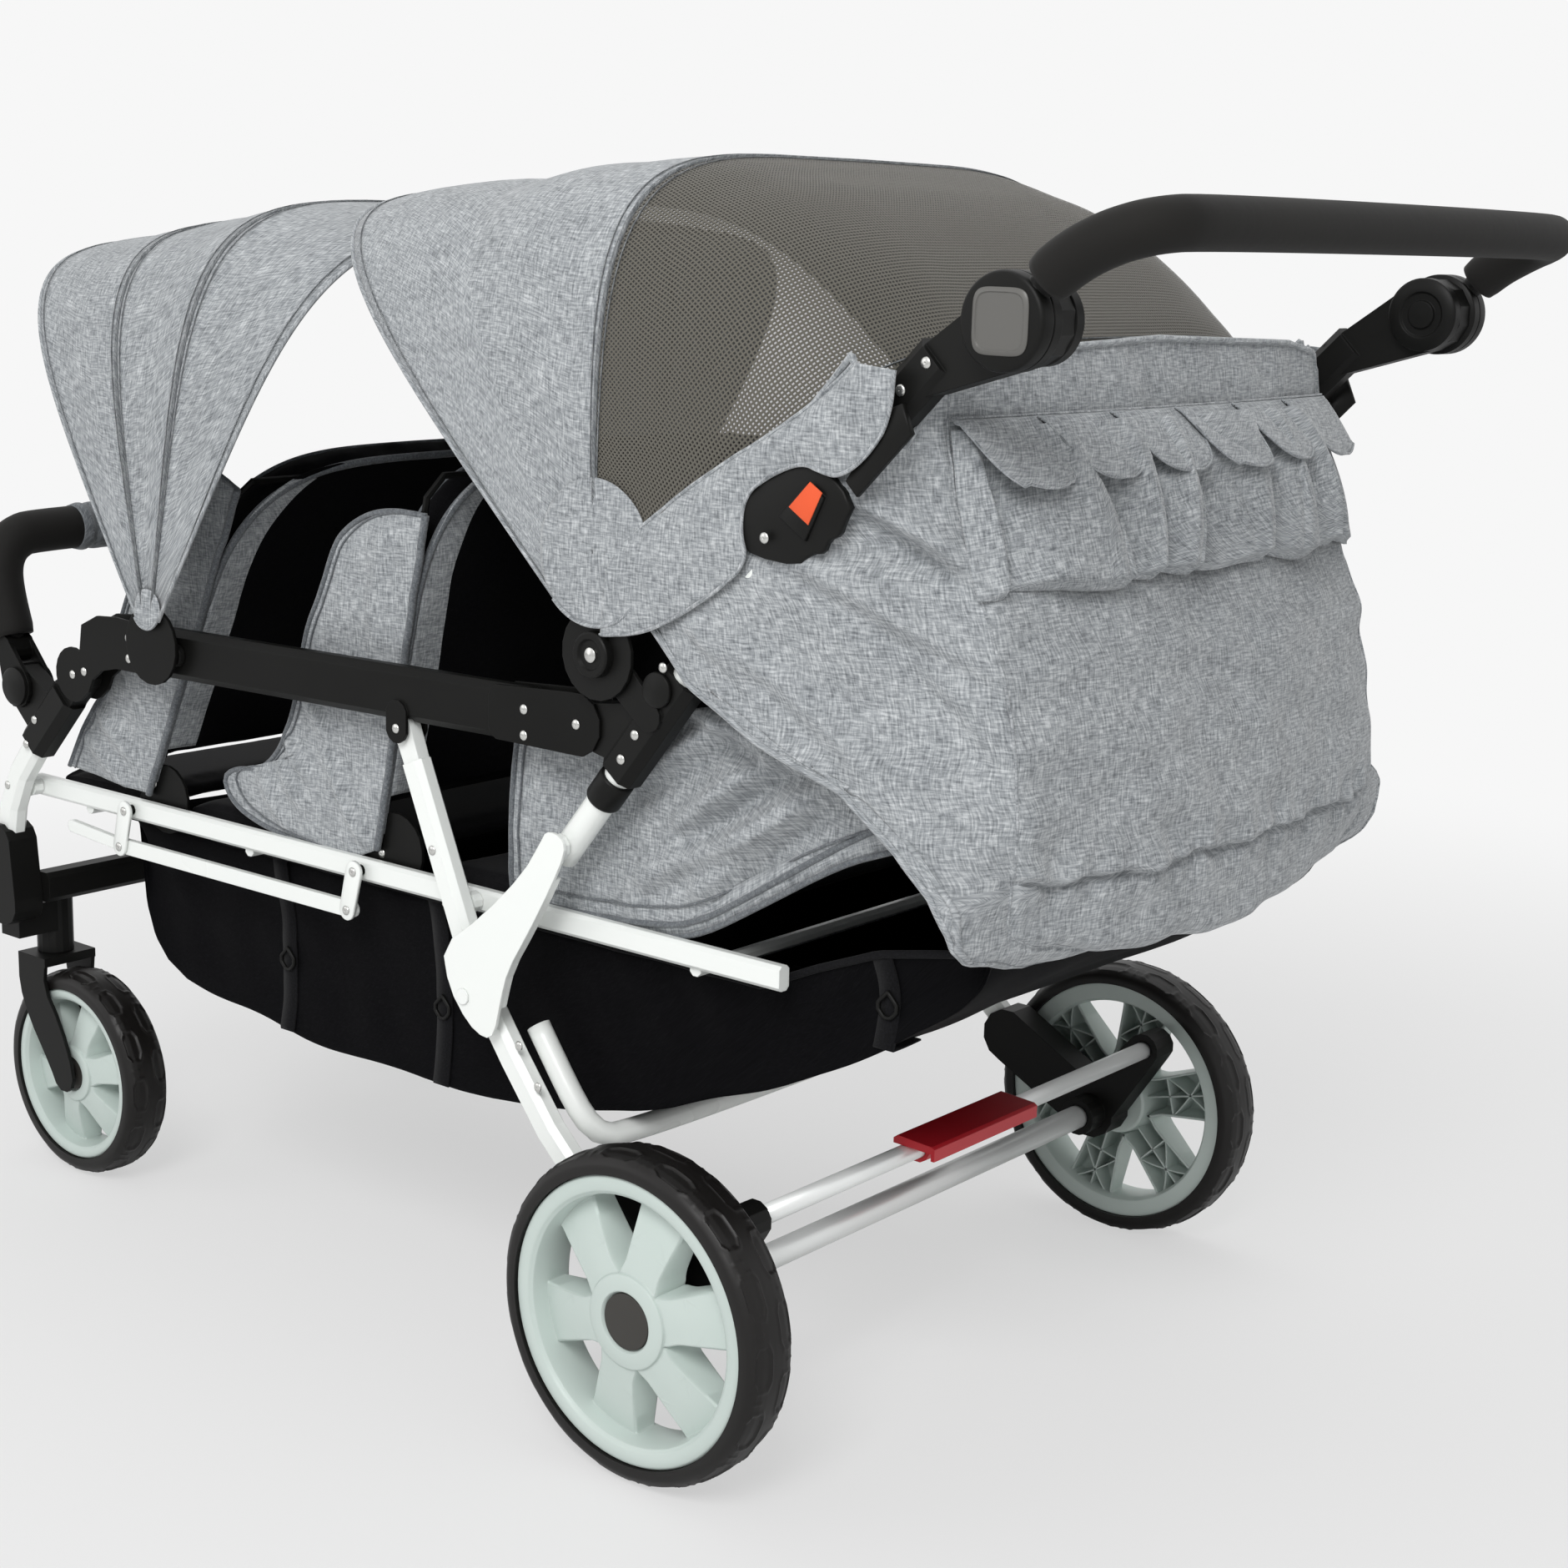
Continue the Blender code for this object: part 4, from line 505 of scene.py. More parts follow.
def makeTyre(name, centre, wheel, body, node):
    # Flat side walls and a round crown, less the tread's relief. Each panel is a hexagon whose rim is raised and
    # whose middle is sunk; the panels of the two shoulders alternate, with a short rib between neighbours
    half, radius = wheel["width"] / 2, wheel["radius"]
    seat = radius - wheel["tyreDepth"]
    across = np.concatenate([[-1, -1], np.linspace(-1, 1, 49), [1, 1]]) * half
    share = np.abs(across) / half
    outer = np.interp(share, (0, 0.3, 0.55, 0.75, 0.88, 0.96, 1), radius - np.array(
        (0.0008, 0.0010, 0.0016, 0.0032, 0.0056, 0.0082, 0.0106)))
    outer[[0, -1]] = seat + 0.0002
    outer[[1, -2]] = seat + 0.0030
    angle = np.linspace(0, 2 * math.pi, 36 * wheel["panels"], endpoint=False)[:, None]
    step = angle * wheel["panels"] / (2 * math.pi) + np.where(across[None] < 0, 0.0, 0.5)
    along = (step % 1 - 0.5) * 2 * math.pi * radius / wheel["panels"]  # metres from the panel's middle
    beside = (share[None] - 0.53) * half
    long, wide = wheel["panelLong"] / 2, wheel["panelWide"] / 2
    edge = np.maximum(np.abs(along) / long, np.abs(beside) / wide)
    edge = np.maximum(edge, 0.62 * np.abs(along) / long + 0.62 * np.abs(beside) / wide)
    distance = (edge - 1) * wide
    ridge = bump(distance, 0.0009)
    sunk = np.clip(-distance / 0.0012, 0, 1)
    gap = np.abs(np.abs(along) - math.pi * radius / wheel["panels"])
    rib = bump(gap, 0.0008) * np.clip((share[None] - 0.45) / 0.05, 0, 1) * np.clip((0.84 - share[None]) / 0.05, 0, 1)
    relief = 0.0008 * ridge + 0.0006 * rib - 0.0010 * sunk
    relief[:, [0, 1, 2, -3, -2, -1]] = 0
    reach = outer[None] + relief
    points = np.stack([centre[0] + across[None] + 0 * reach, centre[1] + reach * np.cos(angle),
                       centre[2] + reach * np.sin(angle)], 2)
    makePiece(f"tyre_{name}", [facing(patch(points, closedU=True, closedV=True))], tyreRubber, body, (node,),
              sharp=50)


def makeRim(name, sign, centre, wheel, body, node):
    # Flat outer ring, deep barrel and back flange, in one closed profile
    half, seat = wheel["width"] / 2, wheel["radius"] - wheel["tyreDepth"]
    inner = seat - wheel["ring"]
    face, deep = half - 0.0022, half - 0.004
    profile = [(-deep, seat - 0.0001), (-deep, inner + 0.001), (-deep + 0.004, inner - 0.0015),
               (face - 0.016, inner - 0.0012), (face - 0.006, inner), (face - 0.0030, inner + 0.0008),
               (face - 0.0022, inner + 0.0024), (face - 0.0006, inner + 0.0032), (face, inner + 0.0042),
               (face, seat - 0.0024), (face - 0.0006, seat - 0.0012), (face - 0.002, seat - 0.0001)]
    parts = [lathe([(sign * x, r) for x, r in profile], centre, 96)]
    # Hub: drum with a raised rim round the cap
    hub, cap = wheel["hub"], wheel["cap"]
    drum = [(-deep, 0.0072), (-deep, hub * 0.80), (-deep + 0.002, hub * 0.86), (face - 0.012, hub * 0.97),
            (face - 0.0040, hub), (face - 0.0018, hub - 0.0006), (face - 0.0006, hub - 0.0028),
            (face - 0.0006, cap + 0.0012), (face - 0.0020, cap + 0.0004), (face - 0.0040, cap),
            (face - 0.0045, 0.0072)]
    parts.append(lathe([(sign * x, r) for x, r in drum], centre, 72))
    dome = [(face - 0.0042, cap - 0.0004), (face - 0.0022, cap - 0.0010), (face - 0.0014, cap * 0.6),
            (face - 0.0013, 0.0001), (face - 0.0060, 0.0001), (face - 0.0060, cap - 0.0004)]
    parts.append(lathe([(sign * x, r) for x, r in dome], centre, 48, slot=1))
    reach = np.linspace(hub * 0.80, inner + 0.003, 22)
    for k in range(6):
        parts += spoke(2 * math.pi * k / 6 + wheel["turn"], sign, centre, wheel, reach, half, face, deep)
    makePiece(f"rim_{name}", parts, [rimPlastic, hubPlastic], body, (node,), sharp=38)


def spoke(angle, sign, centre, wheel, reach, half, face, deep):
    # A hollow box open at the back. Its front slopes down from the hub to the barrel and flares at both ends, its two
    # walls follow the flare, and thin ribs cross behind it, each from one (share of the reach, share of the width)
    # to another
    ribs = (((0.05, 0.0), (1.0, 0.0)), ((0.42, -0.9), (0.98, 0.8)), ((0.42, 0.9), (0.98, -0.8)),
            ((0.40, -0.92), (0.40, 0.92)))
    wall, ribHalf = 0.0022, 0.0008
    share = (reach - reach[0]) / (reach[-1] - reach[0])
    flare = wheel["spokeHub"] + (wheel["spokeRim"] - wheel["spokeHub"]) * share ** 1.1
    width = (flare + 0.0050 * np.clip((share - 0.84) / 0.16, 0, 1) ** 2
             + 0.0030 * np.clip((0.28 - share) / 0.2, 0, 1) ** 2)
    front = face - 0.0030 - (half * 0.62) * share ** 1.25
    rear = -deep + 0.006 + 0 * share
    corner = np.array([(-1, 1), (-1, 0.10), (-0.93, 0.02), (-0.4, 0.0), (0.0, -0.02), (0.4, 0.0), (0.93, 0.02),
                       (1, 0.10), (1, 1)])
    c, s = math.cos(angle), math.sin(angle)

    def turned(out, wide, high):
        return np.stack([centre[0] + sign * high + 0 * out, centre[1] + out * c - wide * s,
                         centre[2] + out * s + wide * c], -1)

    outside = turned(reach[:, None], width[:, None] * corner[None, :, 0],
                     front[:, None] + (rear - front)[:, None] * corner[None, :, 1])
    inside = turned(reach[:, None], (width[:, None] - wall) * corner[None, ::-1, 0],
                    front[:, None] - wall * (1 - corner[None, ::-1, 1])
                    + (rear - front)[:, None] * corner[None, ::-1, 1])
    parts = [facing(patch(np.concatenate([outside, inside], 1), closedV=True, caps=True))]
    for a, b in ribs:
        ends = np.linspace(a, b, 9)
        out = reach[0] + ends[:, 0] * (reach[-1] - reach[0])
        wide = ends[:, 1] * np.interp(ends[:, 0], share, width)
        aside = np.array([b[1] - a[1], a[0] - b[0]]) / math.hypot(b[1] - a[1], a[0] - b[0]) * ribHalf
        top = np.interp(ends[:, 0], share, front) - 0.001
        low = rear[0] + 0.001 + 0 * top
        edges = [turned(out + to * aside[0], wide + to * aside[1], high) for to, high in
                 ((-1, top), (1, top), (1, low), (-1, low))]
        parts.append(facing(patch(np.stack(edges, 1), closedV=True, caps=True)))
    return parts


makeWheels()
print("wheels made")


# Round tubes, which the part's solids carry as many-sided ones

pushTube = {"x": 0.300, "radius": 0.012, "low": (-0.130, 0.476), "bend": (0.090, 0.752), "top": (0.2085, 0.8705)}


def makeTubes():
    low, bend, top = (np.array(pushTube[k]) for k in ("low", "bend", "top"))
    start = low - 0.014 * (bend - low) / np.linalg.norm(bend - low)
    line = [start, bend - 0.10 * (bend - low), bend, bend + 0.22 * (top - bend), top]
    for side, sign in sides:
        path = spaced(rounded(fromAxle([(sign * pushTube["x"], y, z) for y, z in line]), 3), 30)
        along = (bend - low) / np.linalg.norm(bend - low)
        studAt = low + 0.305 * along
        stud = lathe([(0, 0.0001), (0, 0.006), (0.0190, 0.006), (0.0197, 0.005), (0.0197, 0.0001)],
                     fromAxle((sign * pushTube["x"], *studAt)), 24, (sign, 0, 0))
        makePiece(f"push_tube_round_{side}", [tube(path, pushTube["radius"], reference=(1, 0, 0)), stud],
                  whitePaint, "push_frame", (f"push_tube_{side}",))
    axle = np.linspace((-0.299, 0, 0.134), (0.299, 0, 0.134), 3)
    makePiece("axle_tube_round", [tube(fromAxle(axle), 0.011)], bareTube, "rear_frame", ("axle_tube",))
    bar = np.linspace((-0.3025, 0.055, 0.208), (0.3025, 0.055, 0.208), 3)
    makePiece("brake_bar_round", [tube(fromAxle(bar), 0.008)], bareTube, "brake", ("brake_bar",))
    half = [(0.2797, -0.186, 0.3090), (0.2797, -0.142, 0.2500), (0.2740, -0.127, 0.2310), (0.2560, -0.118, 0.2215)]
    makePiece("cross_tube_round", [tube(spaced(rounded(mirrored(half), 3), 60), 0.010, reference=(0, 1, 0.6))],
              whitePaint, "rear_frame", ("rear_cross_tube",))


makeTubes()


# Push handle: tube, foam grip and the round hubs with their square buttons

def makeHandle():
    handle = {"pivot": (0.280, 0.900), "gripRadius": 0.0180, "tubeRadius": 0.009, "hub": 0.033, "button": 0.0215,
              "hubX": 0.3096, "insideX": 0.2904, "shaftX": 0.286, "buttonX": 0.3339}
    half = [(0.3225, 0.290, 0.911), (0.3225, 0.318, 0.9375), (0.319, 0.348, 0.954), (0.306, 0.374, 0.963),
            (0.272, 0.390, 0.966)]
    path = spaced(rounded(mirrored(half), 3), 200)
    pivot = handle["pivot"]
    parts = [tube(path, handle["tubeRadius"], reference=(0, 0.3, 1))]
    for sign in (1, -1):
        hub = handle["hub"]
        profile = [(0, 0.0001), (0, hub - 0.0015), (0.0012, hub), (0.0100, hub), (0.0104, hub - 0.0012),
                   (0.0114, hub - 0.0012), (0.0118, hub), (0.0212, hub), (0.0228, hub - 0.0006),
                   (0.0240, hub - 0.0020), (0.0243, hub - 0.0034), (0.0243, 0.0001)]
        parts.append(lathe(profile, fromAxle((sign * handle["hubX"], *pivot)), 72, (sign, 0, 0)))
        inside = [(0, 0.0001), (0, 0.0285), (-0.0010, 0.0300), (-0.0100, 0.0300), (-0.0118, 0.0280),
                  (-0.0122, 0.0190), (-0.0106, 0.0175), (-0.0106, 0.0120), (-0.0128, 0.0110), (-0.0132, 0.0001)]
        parts.append(lathe(inside, fromAxle((sign * handle["insideX"], *pivot)), 48, (sign, 0, 0)))
        shaft = [(0, 0.0001), (0, 0.0075), (0.027, 0.0075), (0.027, 0.0001)]
        parts.append(lathe(shaft, fromAxle((sign * handle["shaftX"], *pivot)), 24, (sign, 0, 0)))
    makePiece("handle_bar", parts, blackNylon, "handle", ("handle_tube",), sharp=40)
    grip = path[6:-6]
    ends = np.interp(np.arange(len(grip)), (0, 2, len(grip) - 3, len(grip) - 1), (0.94, 1, 1, 0.94))
    makePiece("handle_foam", [tube(grip, handle["gripRadius"] * ends, 32, reference=(0, 0.3, 1))], evaFoam, "handle",
              ("handle_grip",))
    # Square button: a squared circle |cos|^n, |sin|^n whose edge is chamfered twice
    turn = np.linspace(0, 2 * math.pi, 80, endpoint=False)
    square = [np.sign(f(turn)) * np.abs(f(turn)) ** 0.42 for f in (np.cos, np.sin)]
    for side, sign in sides:
        rows = []
        for out, size in ((-0.001, 1.02), (0.0006, 1.02), (0.0016, 0.97), (0.0020, 0.88), (0.0012, 0.85),
                          (0.0012, 0.05)):
            size *= handle["button"]
            rows.append(np.stack([0 * turn + sign * (handle["buttonX"] + out), pivot[0] + size * square[0],
                                  pivot[1] + size * square[1]], 1))
        made = facing(patch(fromAxle(np.array(rows)), closedV=True, caps=True))
        makePiece(f"handle_button_{side}", [made], buttonPlastic, "handle", sharp=35)


makeHandle()


# Front bar: tube with forked ends, foam and the cloth sleeve round its middle

def makeFrontBar():
    bar = {"pivot": (-0.858, 0.507), "foam": 0.0210, "rise": 0.042, "sleeveFrom": 0.215}
    pivot = np.array(bar["pivot"])
    line = (np.array((-0.899, 0.585)) - pivot)
    line /= np.linalg.norm(line)
    rise = pivot + bar["rise"] * line
    half = [(0.300, *rise), (0.300, -0.897, 0.598), (0.296, -0.902, 0.624), (0.281, -0.9045, 0.642),
            (0.254, -0.905, 0.650)]
    path = spaced(rounded(mirrored(half), 3), 190)
    foam = path[2:-2]
    ends = np.interp(np.arange(len(foam)), (0, 2, len(foam) - 3, len(foam) - 1), (0.94, 1, 1, 0.94))
    makePiece("front_bar_foam", [tube(foam, bar["foam"] * ends, 28, reference=(0, 1, 0))], evaFoam, "bumper",
              ("bumper_foam",))
    middle = spaced(path[np.abs(path[:, 0]) < bar["sleeveFrom"]], 220)
    # Cloth sleeve: a little wider than the foam, drawn in by elastic at both ends, with small cross folds
    place = np.linspace(0, 1, len(middle))
    end = np.minimum(place, 1 - place)
    size = bar["foam"] + 0.0022 + 0.0010 * ripple(middle, 5, 0.02) + 0.0012 * bump(end - 0.020, 0.008)
    size -= 0.0014 * bump(end - 0.036, 0.006) + 0.0014 * bump(end, 0.006)
    makePiece("front_bar_sleeve", [tube(middle, size, 40, reference=(0, 1, 0))], melangeDark, "bumper")
    hub = [(-0.0190, 0.0001), (-0.0190, 0.0150), (-0.0165, 0.0185), (0.0165, 0.0185), (0.0190, 0.0150),
           (0.0190, 0.0001)]
    parts = [lathe([(sign * x, r) for x, r in hub], fromAxle((sign * 0.300, *bar["pivot"])), 40) for sign in (1, -1)]
    makePiece("front_bar_knobs", parts, blackNylon, "bumper", sharp=40)


makeFrontBar()


# CAD nodes whose shape is right take a better finish

def finishNodes():
    finishes = {
        whitePaint: ["rear_leg", "front_leg", "link", "recline_bar", "seat_frame"],
        blackPaint: ["rail", "row_1_frame", "row_2_frame", "front_cross_brace", "bumper_tube"],
        blackNylon: ["hinge_block", "handle_bracket", "wheel_bracket", "caster_housing", "caster_fork",
                     "bumper_bracket"],
        redNylon: ["brake_pedal"],
    }
    for material, names in finishes.items():
        for name in names:
            for node in (name, name + "_left", name + "_right"):
                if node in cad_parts:
                    shown = bpy.data.objects[node]
                    for place in shown.material_slots:
                        place.material = material


finishNodes()
print("frame finished")


# Hoods: every bow is a squared ellipse in a plane through its hinge line, and the cloth sags between bows

frontHood = {"hinge": (-0.635, 0.575), "bows": (122.0, 100.0, 79.0, 57.0), "power": 5.5,
             "radii": ((57.0, 0.448), (79.0, 0.403), (100.0, 0.380), (122.0, 0.416)), "sag": 0.006, "start": 0.028}
rearHood = {"hinge": (-0.085, 0.636), "bows": (137.0, 91.0, 45.0), "power": 5.0,
            "radii": ((45.0, 0.335), (64.0, 0.352), (78.0, 0.366), (91.0, 0.376), (104.0, 0.388), (120.0, 0.414),
                      (137.0, 0.500)), "sag": 0.003, "start": 0.056}
hoodHalfWidth = 0.325
# Where each cloth stays while the frame folds: the direction it flattens along, a point that holds, the share kept
frontFold = ((0, 0, 1), (0, rearAxleY - 0.635, 0.575))
rearFold = ((0, -0.782, 0.623), (0, rearAxleY - 0.02, 0.63))


def bow(hood, angles, across, shrink=0.0, start=0.0):
    # Points of the bows at these angles: reach = radius |sin t|^(2/power), x = half width cos t^(2/power)
    angles = np.asarray(angles, float)
    table = np.array(hood["radii"])
    radius = np.interp(angles, table[:, 0], table[:, 1])
    gap = np.min(np.abs(angles[:, None] - np.array(hood["bows"])[None]), axis=1)
    radius = radius - hood["sag"] * np.clip(gap / 9.0, 0, 1) ** 1.5
    power = hood["power"]
    first = np.arcsin(np.minimum(1, (max(start, hood["start"]) / radius) ** (power / 2)))
    t = first[:, None] + (math.pi - 2 * first[:, None]) * np.asarray(across)[None]
    x = -(hoodHalfWidth - shrink) * np.sign(np.cos(t)) * np.abs(np.cos(t)) ** (2 / power)
    reach = (radius[:, None] - shrink) * np.abs(np.sin(t)) ** (2 / power)
    lean = np.radians(angles)[:, None]
    y, z = hood["hinge"][0] + reach * np.cos(lean), hood["hinge"][1] + reach * np.sin(lean)
    return fromAxle(np.stack([x, y, z], 2))


def bowSteps(count):
    # Closer together near the hubs and at the shoulders, where a squared ellipse turns fast
    t = np.linspace(-1, 1, count)
    return 0.5 + 0.5 * np.sign(t) * (0.35 * np.abs(t) + 0.65 * np.abs(t) ** 0.62)


def makeHood(name, hood, start, end, material, body, node, seed):
    # One panel between two bows, its cloth a little uneven, with a welt on each bow and a stitched line beside it
    rows, welt, stitch, beside = 28, 0.0019, 0.0006, 1.3
    across = bowSteps(121)
    angles = np.linspace(end, start, rows)
    points = bow(hood, angles, across, 0.0006)
    middle = fromAxle((0, hood["hinge"][0], hood["hinge"][1] + 0.15))
    out = points - middle
    out /= np.linalg.norm(out, axis=2)[:, :, None]
    edge = np.clip(np.minimum(np.arange(rows), rows - 1 - np.arange(rows)) / 4, 0, 1)[:, None, None]
    points = points + out * (0.0016 * ripple(points, seed, 0.11)[:, :, None] - 0.0016) * edge
    piece = makePiece(name, [patch(points, inside=middle)], material, body, (node,), thickness=0.0011)
    # A stitched line has two equal skins: they shade each other, so it shows as dark as thread sunk in the cloth
    lines = [(angle, welt, 8, 141, 0.0006, 0.0) for angle in (start, end)]
    lines += [(angle, stitch, 5, 121, -0.0001, 0.05) for angle in (start - beside, end + beside)] * 2
    seams = []
    for angle, size, facets, count, shrink, low in lines:
        lean = math.radians(angle)
        line = bow(hood, [angle], bowSteps(count), shrink, start=low)[0]
        seams.append(tube(line, size, facets, reference=(0, math.cos(lean), math.sin(lean))))
    trim = makePiece(name + "_seams", seams, melange, body)
    return piece, trim


def makeHoods():
    names = ("front", "middle", "rear")
    bodies = ("front_hood_front", "front_hood_middle", "side_frame")
    made = []
    for name, body, start, end, seed in zip(names, bodies, frontHood["bows"], frontHood["bows"][1:], (11, 12, 13)):
        piece, trim = makeHood(f"canopy_front_{name}", frontHood, start, end, melange, body, f"front_hood_{name}",
                               seed)
        made += [(piece, *frontFold, 0.16), (trim, *frontFold, 0.16)]
    for name, body, start, end, material, seed, slot in (
            ("panel", "rear_hood_panel", 137.0, 91.0, melange, 14, "melange_cloth"),
            ("mesh", "push_frame", 91.0, 45.0, net, 15, "mesh_cloth")):
        piece, trim = makeHood(f"canopy_rear_{name}", rearHood, start, end, material, body, f"rear_hood_{name}",
                               seed)
        made += [(piece, *rearFold, 0.12), (trim, *rearFold, 0.12)]
    for piece, axis, anchor, keep in made:
        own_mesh(piece)


def makeTips():
    # Cloth tip of each hood side: a disc whose rim touches both edges of the hood. Its middle lies r / sin(half the
    # hood's opening) up from the hinge, so the tip ends r / sin(half) - r above it and leaves the hinge bare
    tips = {"front": (frontHood, 0.0180), "rear": (rearHood, 0.0560)}
    made = []
    for name, (hood, radius) in tips.items():
        body = "side_frame" if name == "front" else "rear_hood_panel"
        last, first = (math.radians(hood["bows"][k]) for k in (0, -1))
        half, lean = (last - first) / 2, (last + first) / 2
        away = radius / math.sin(half)
        spot = np.array(hood["hinge"]) + away * np.array([math.cos(lean), math.sin(lean)])
        angle = np.linspace(0, 2 * math.pi, 120, endpoint=False)[:, None]
        v = np.linspace(0.02, 1, 16)[None]
        low = np.clip(-np.cos(angle - lean) * 3, 0, 1)
        for side, sign in sides:
            points = np.stack([sign * (0.3264 - 0.0016 * v ** 3 * (1 - low)) + 0 * v * angle,
                               spot[0] + radius * v * np.cos(angle), spot[1] + radius * v * np.sin(angle)], -1)
            points[..., 0] += sign * 0.0005 * ripple(points, 91, 0.03)
            points = fromAxle(points)
            piece = makePiece(f"canopy_{name}_tip_{side}", [patch(points, closedU=True, inside=fromAxle(
                (0, *hood["hinge"])), level=(1, 2))], melange, body, thickness=0.0010)
            # Hem along the lower rim only, from one edge of the hood to the other
            turn = lean + math.pi + np.linspace(-1, 1, 50) * (math.pi / 2 - half * 0.95)
            rim = np.stack([0 * turn + sign * 0.3266, spot[0] + radius * np.cos(turn),
                            spot[1] + radius * np.sin(turn)], 1)
            hem = makePiece(f"canopy_{name}_tip_hem_{side}", [edging(fromAxle(rim), 0.0016, 8)],
                            melange, body)
            made += [(piece, name), (hem, name)]
    for piece, name in made:
        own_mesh(piece)


makeHoods()
makeTips()
print("hoods made")


# Rear cover: a sewn bag round the push tubes, with its flap row, gathered pocket and hems

coverLevels = np.array([  # height, front edge, back at the corner seam, bulge in the middle
    (0.872, 0.1500, 0.1960, 0.006), (0.826, 0.1060, 0.1980, 0.014), (0.778, 0.0580, 0.2070, 0.020),
    (0.724, 0.0060, 0.2240, 0.026), (0.700, -0.0170, 0.2340, 0.028), (0.668, -0.0400, 0.2470, 0.029),
    (0.655, -0.0260, 0.2520, 0.030), (0.625, 0.0050, 0.2600, 0.031), (0.590, 0.0760, 0.2665, 0.031),
    (0.565, 0.1500, 0.2690, 0.031), (0.530, 0.2020, 0.2700, 0.031), (0.503, 0.2320, 0.2690, 0.031),
    (0.480, 0.2460, 0.2680, 0.032), (0.460, 0.2500, 0.2680, 0.032), (0.445, 0.2480, 0.2670, 0.032),
    (0.436, 0.2420, 0.2640, 0.031), (0.430, 0.2320, 0.2580, 0.029), (0.4245, 0.2180, 0.2460, 0.024)])
cover = {"sideX": 0.3222, "pocketTop": 0.822, "pocketBottom": 0.706, "flapTop": 0.829, "flapReach": 0.058,
         "folds": 14}


def coverPoint(u, z):
    # u runs 0 at the left front edge, 0.5 at the middle of the back, 1 at the right front edge. From the front edge
    # the cloth runs straight to the push tube, on to the corner seam, and then bulges over the back as a quarter sine
    u, z = np.broadcast_arrays(np.asarray(u, float), np.asarray(z, float))
    order = coverLevels[::-1]
    front, rear, bulge = (np.interp(z, order[:, 0], order[:, k]) for k in (1, 2, 3))
    tubeY = np.where(z < 0.752, -0.130 + (z - 0.476) * 0.797, 0.090 + (z - 0.752))
    turn = np.maximum(front + 0.02, np.minimum(tubeY + 0.024, rear - 0.030))
    turn = np.minimum(turn, rear - 0.012)
    corner = np.interp(z, (0.4245, 0.430, 0.436, 0.443, 0.453, 0.465, 0.480, 0.520),
                       (0.030, 0.095, 0.140, 0.182, 0.235, 0.260, 0.267, 0.269))
    side = cover["sideX"] - 0.75 * (0.269 - corner)
    sign = np.where(u < 0.5, 1.0, -1.0)
    s = 1 - np.abs(u - 0.5) * 2
    f = np.clip((s - 0.30) / 0.20, 0, 1)
    g = np.clip((s - 0.50) / 0.50, 0, 1)
    x = np.where(s < 0.5, side + (corner - side) * f ** 1.35, corner * (1 - g))
    y = np.where(s < 0.5, np.where(s < 0.30, front + (turn - front) * s / 0.30, turn + (rear - turn) * f),
                 rear + bulge * np.sin(math.pi / 2 * g) ** 0.8)
    return fromAxle(np.stack([sign * x, y, z], -1))


coverInside = fromAxle((0, 0.05, 0.65))


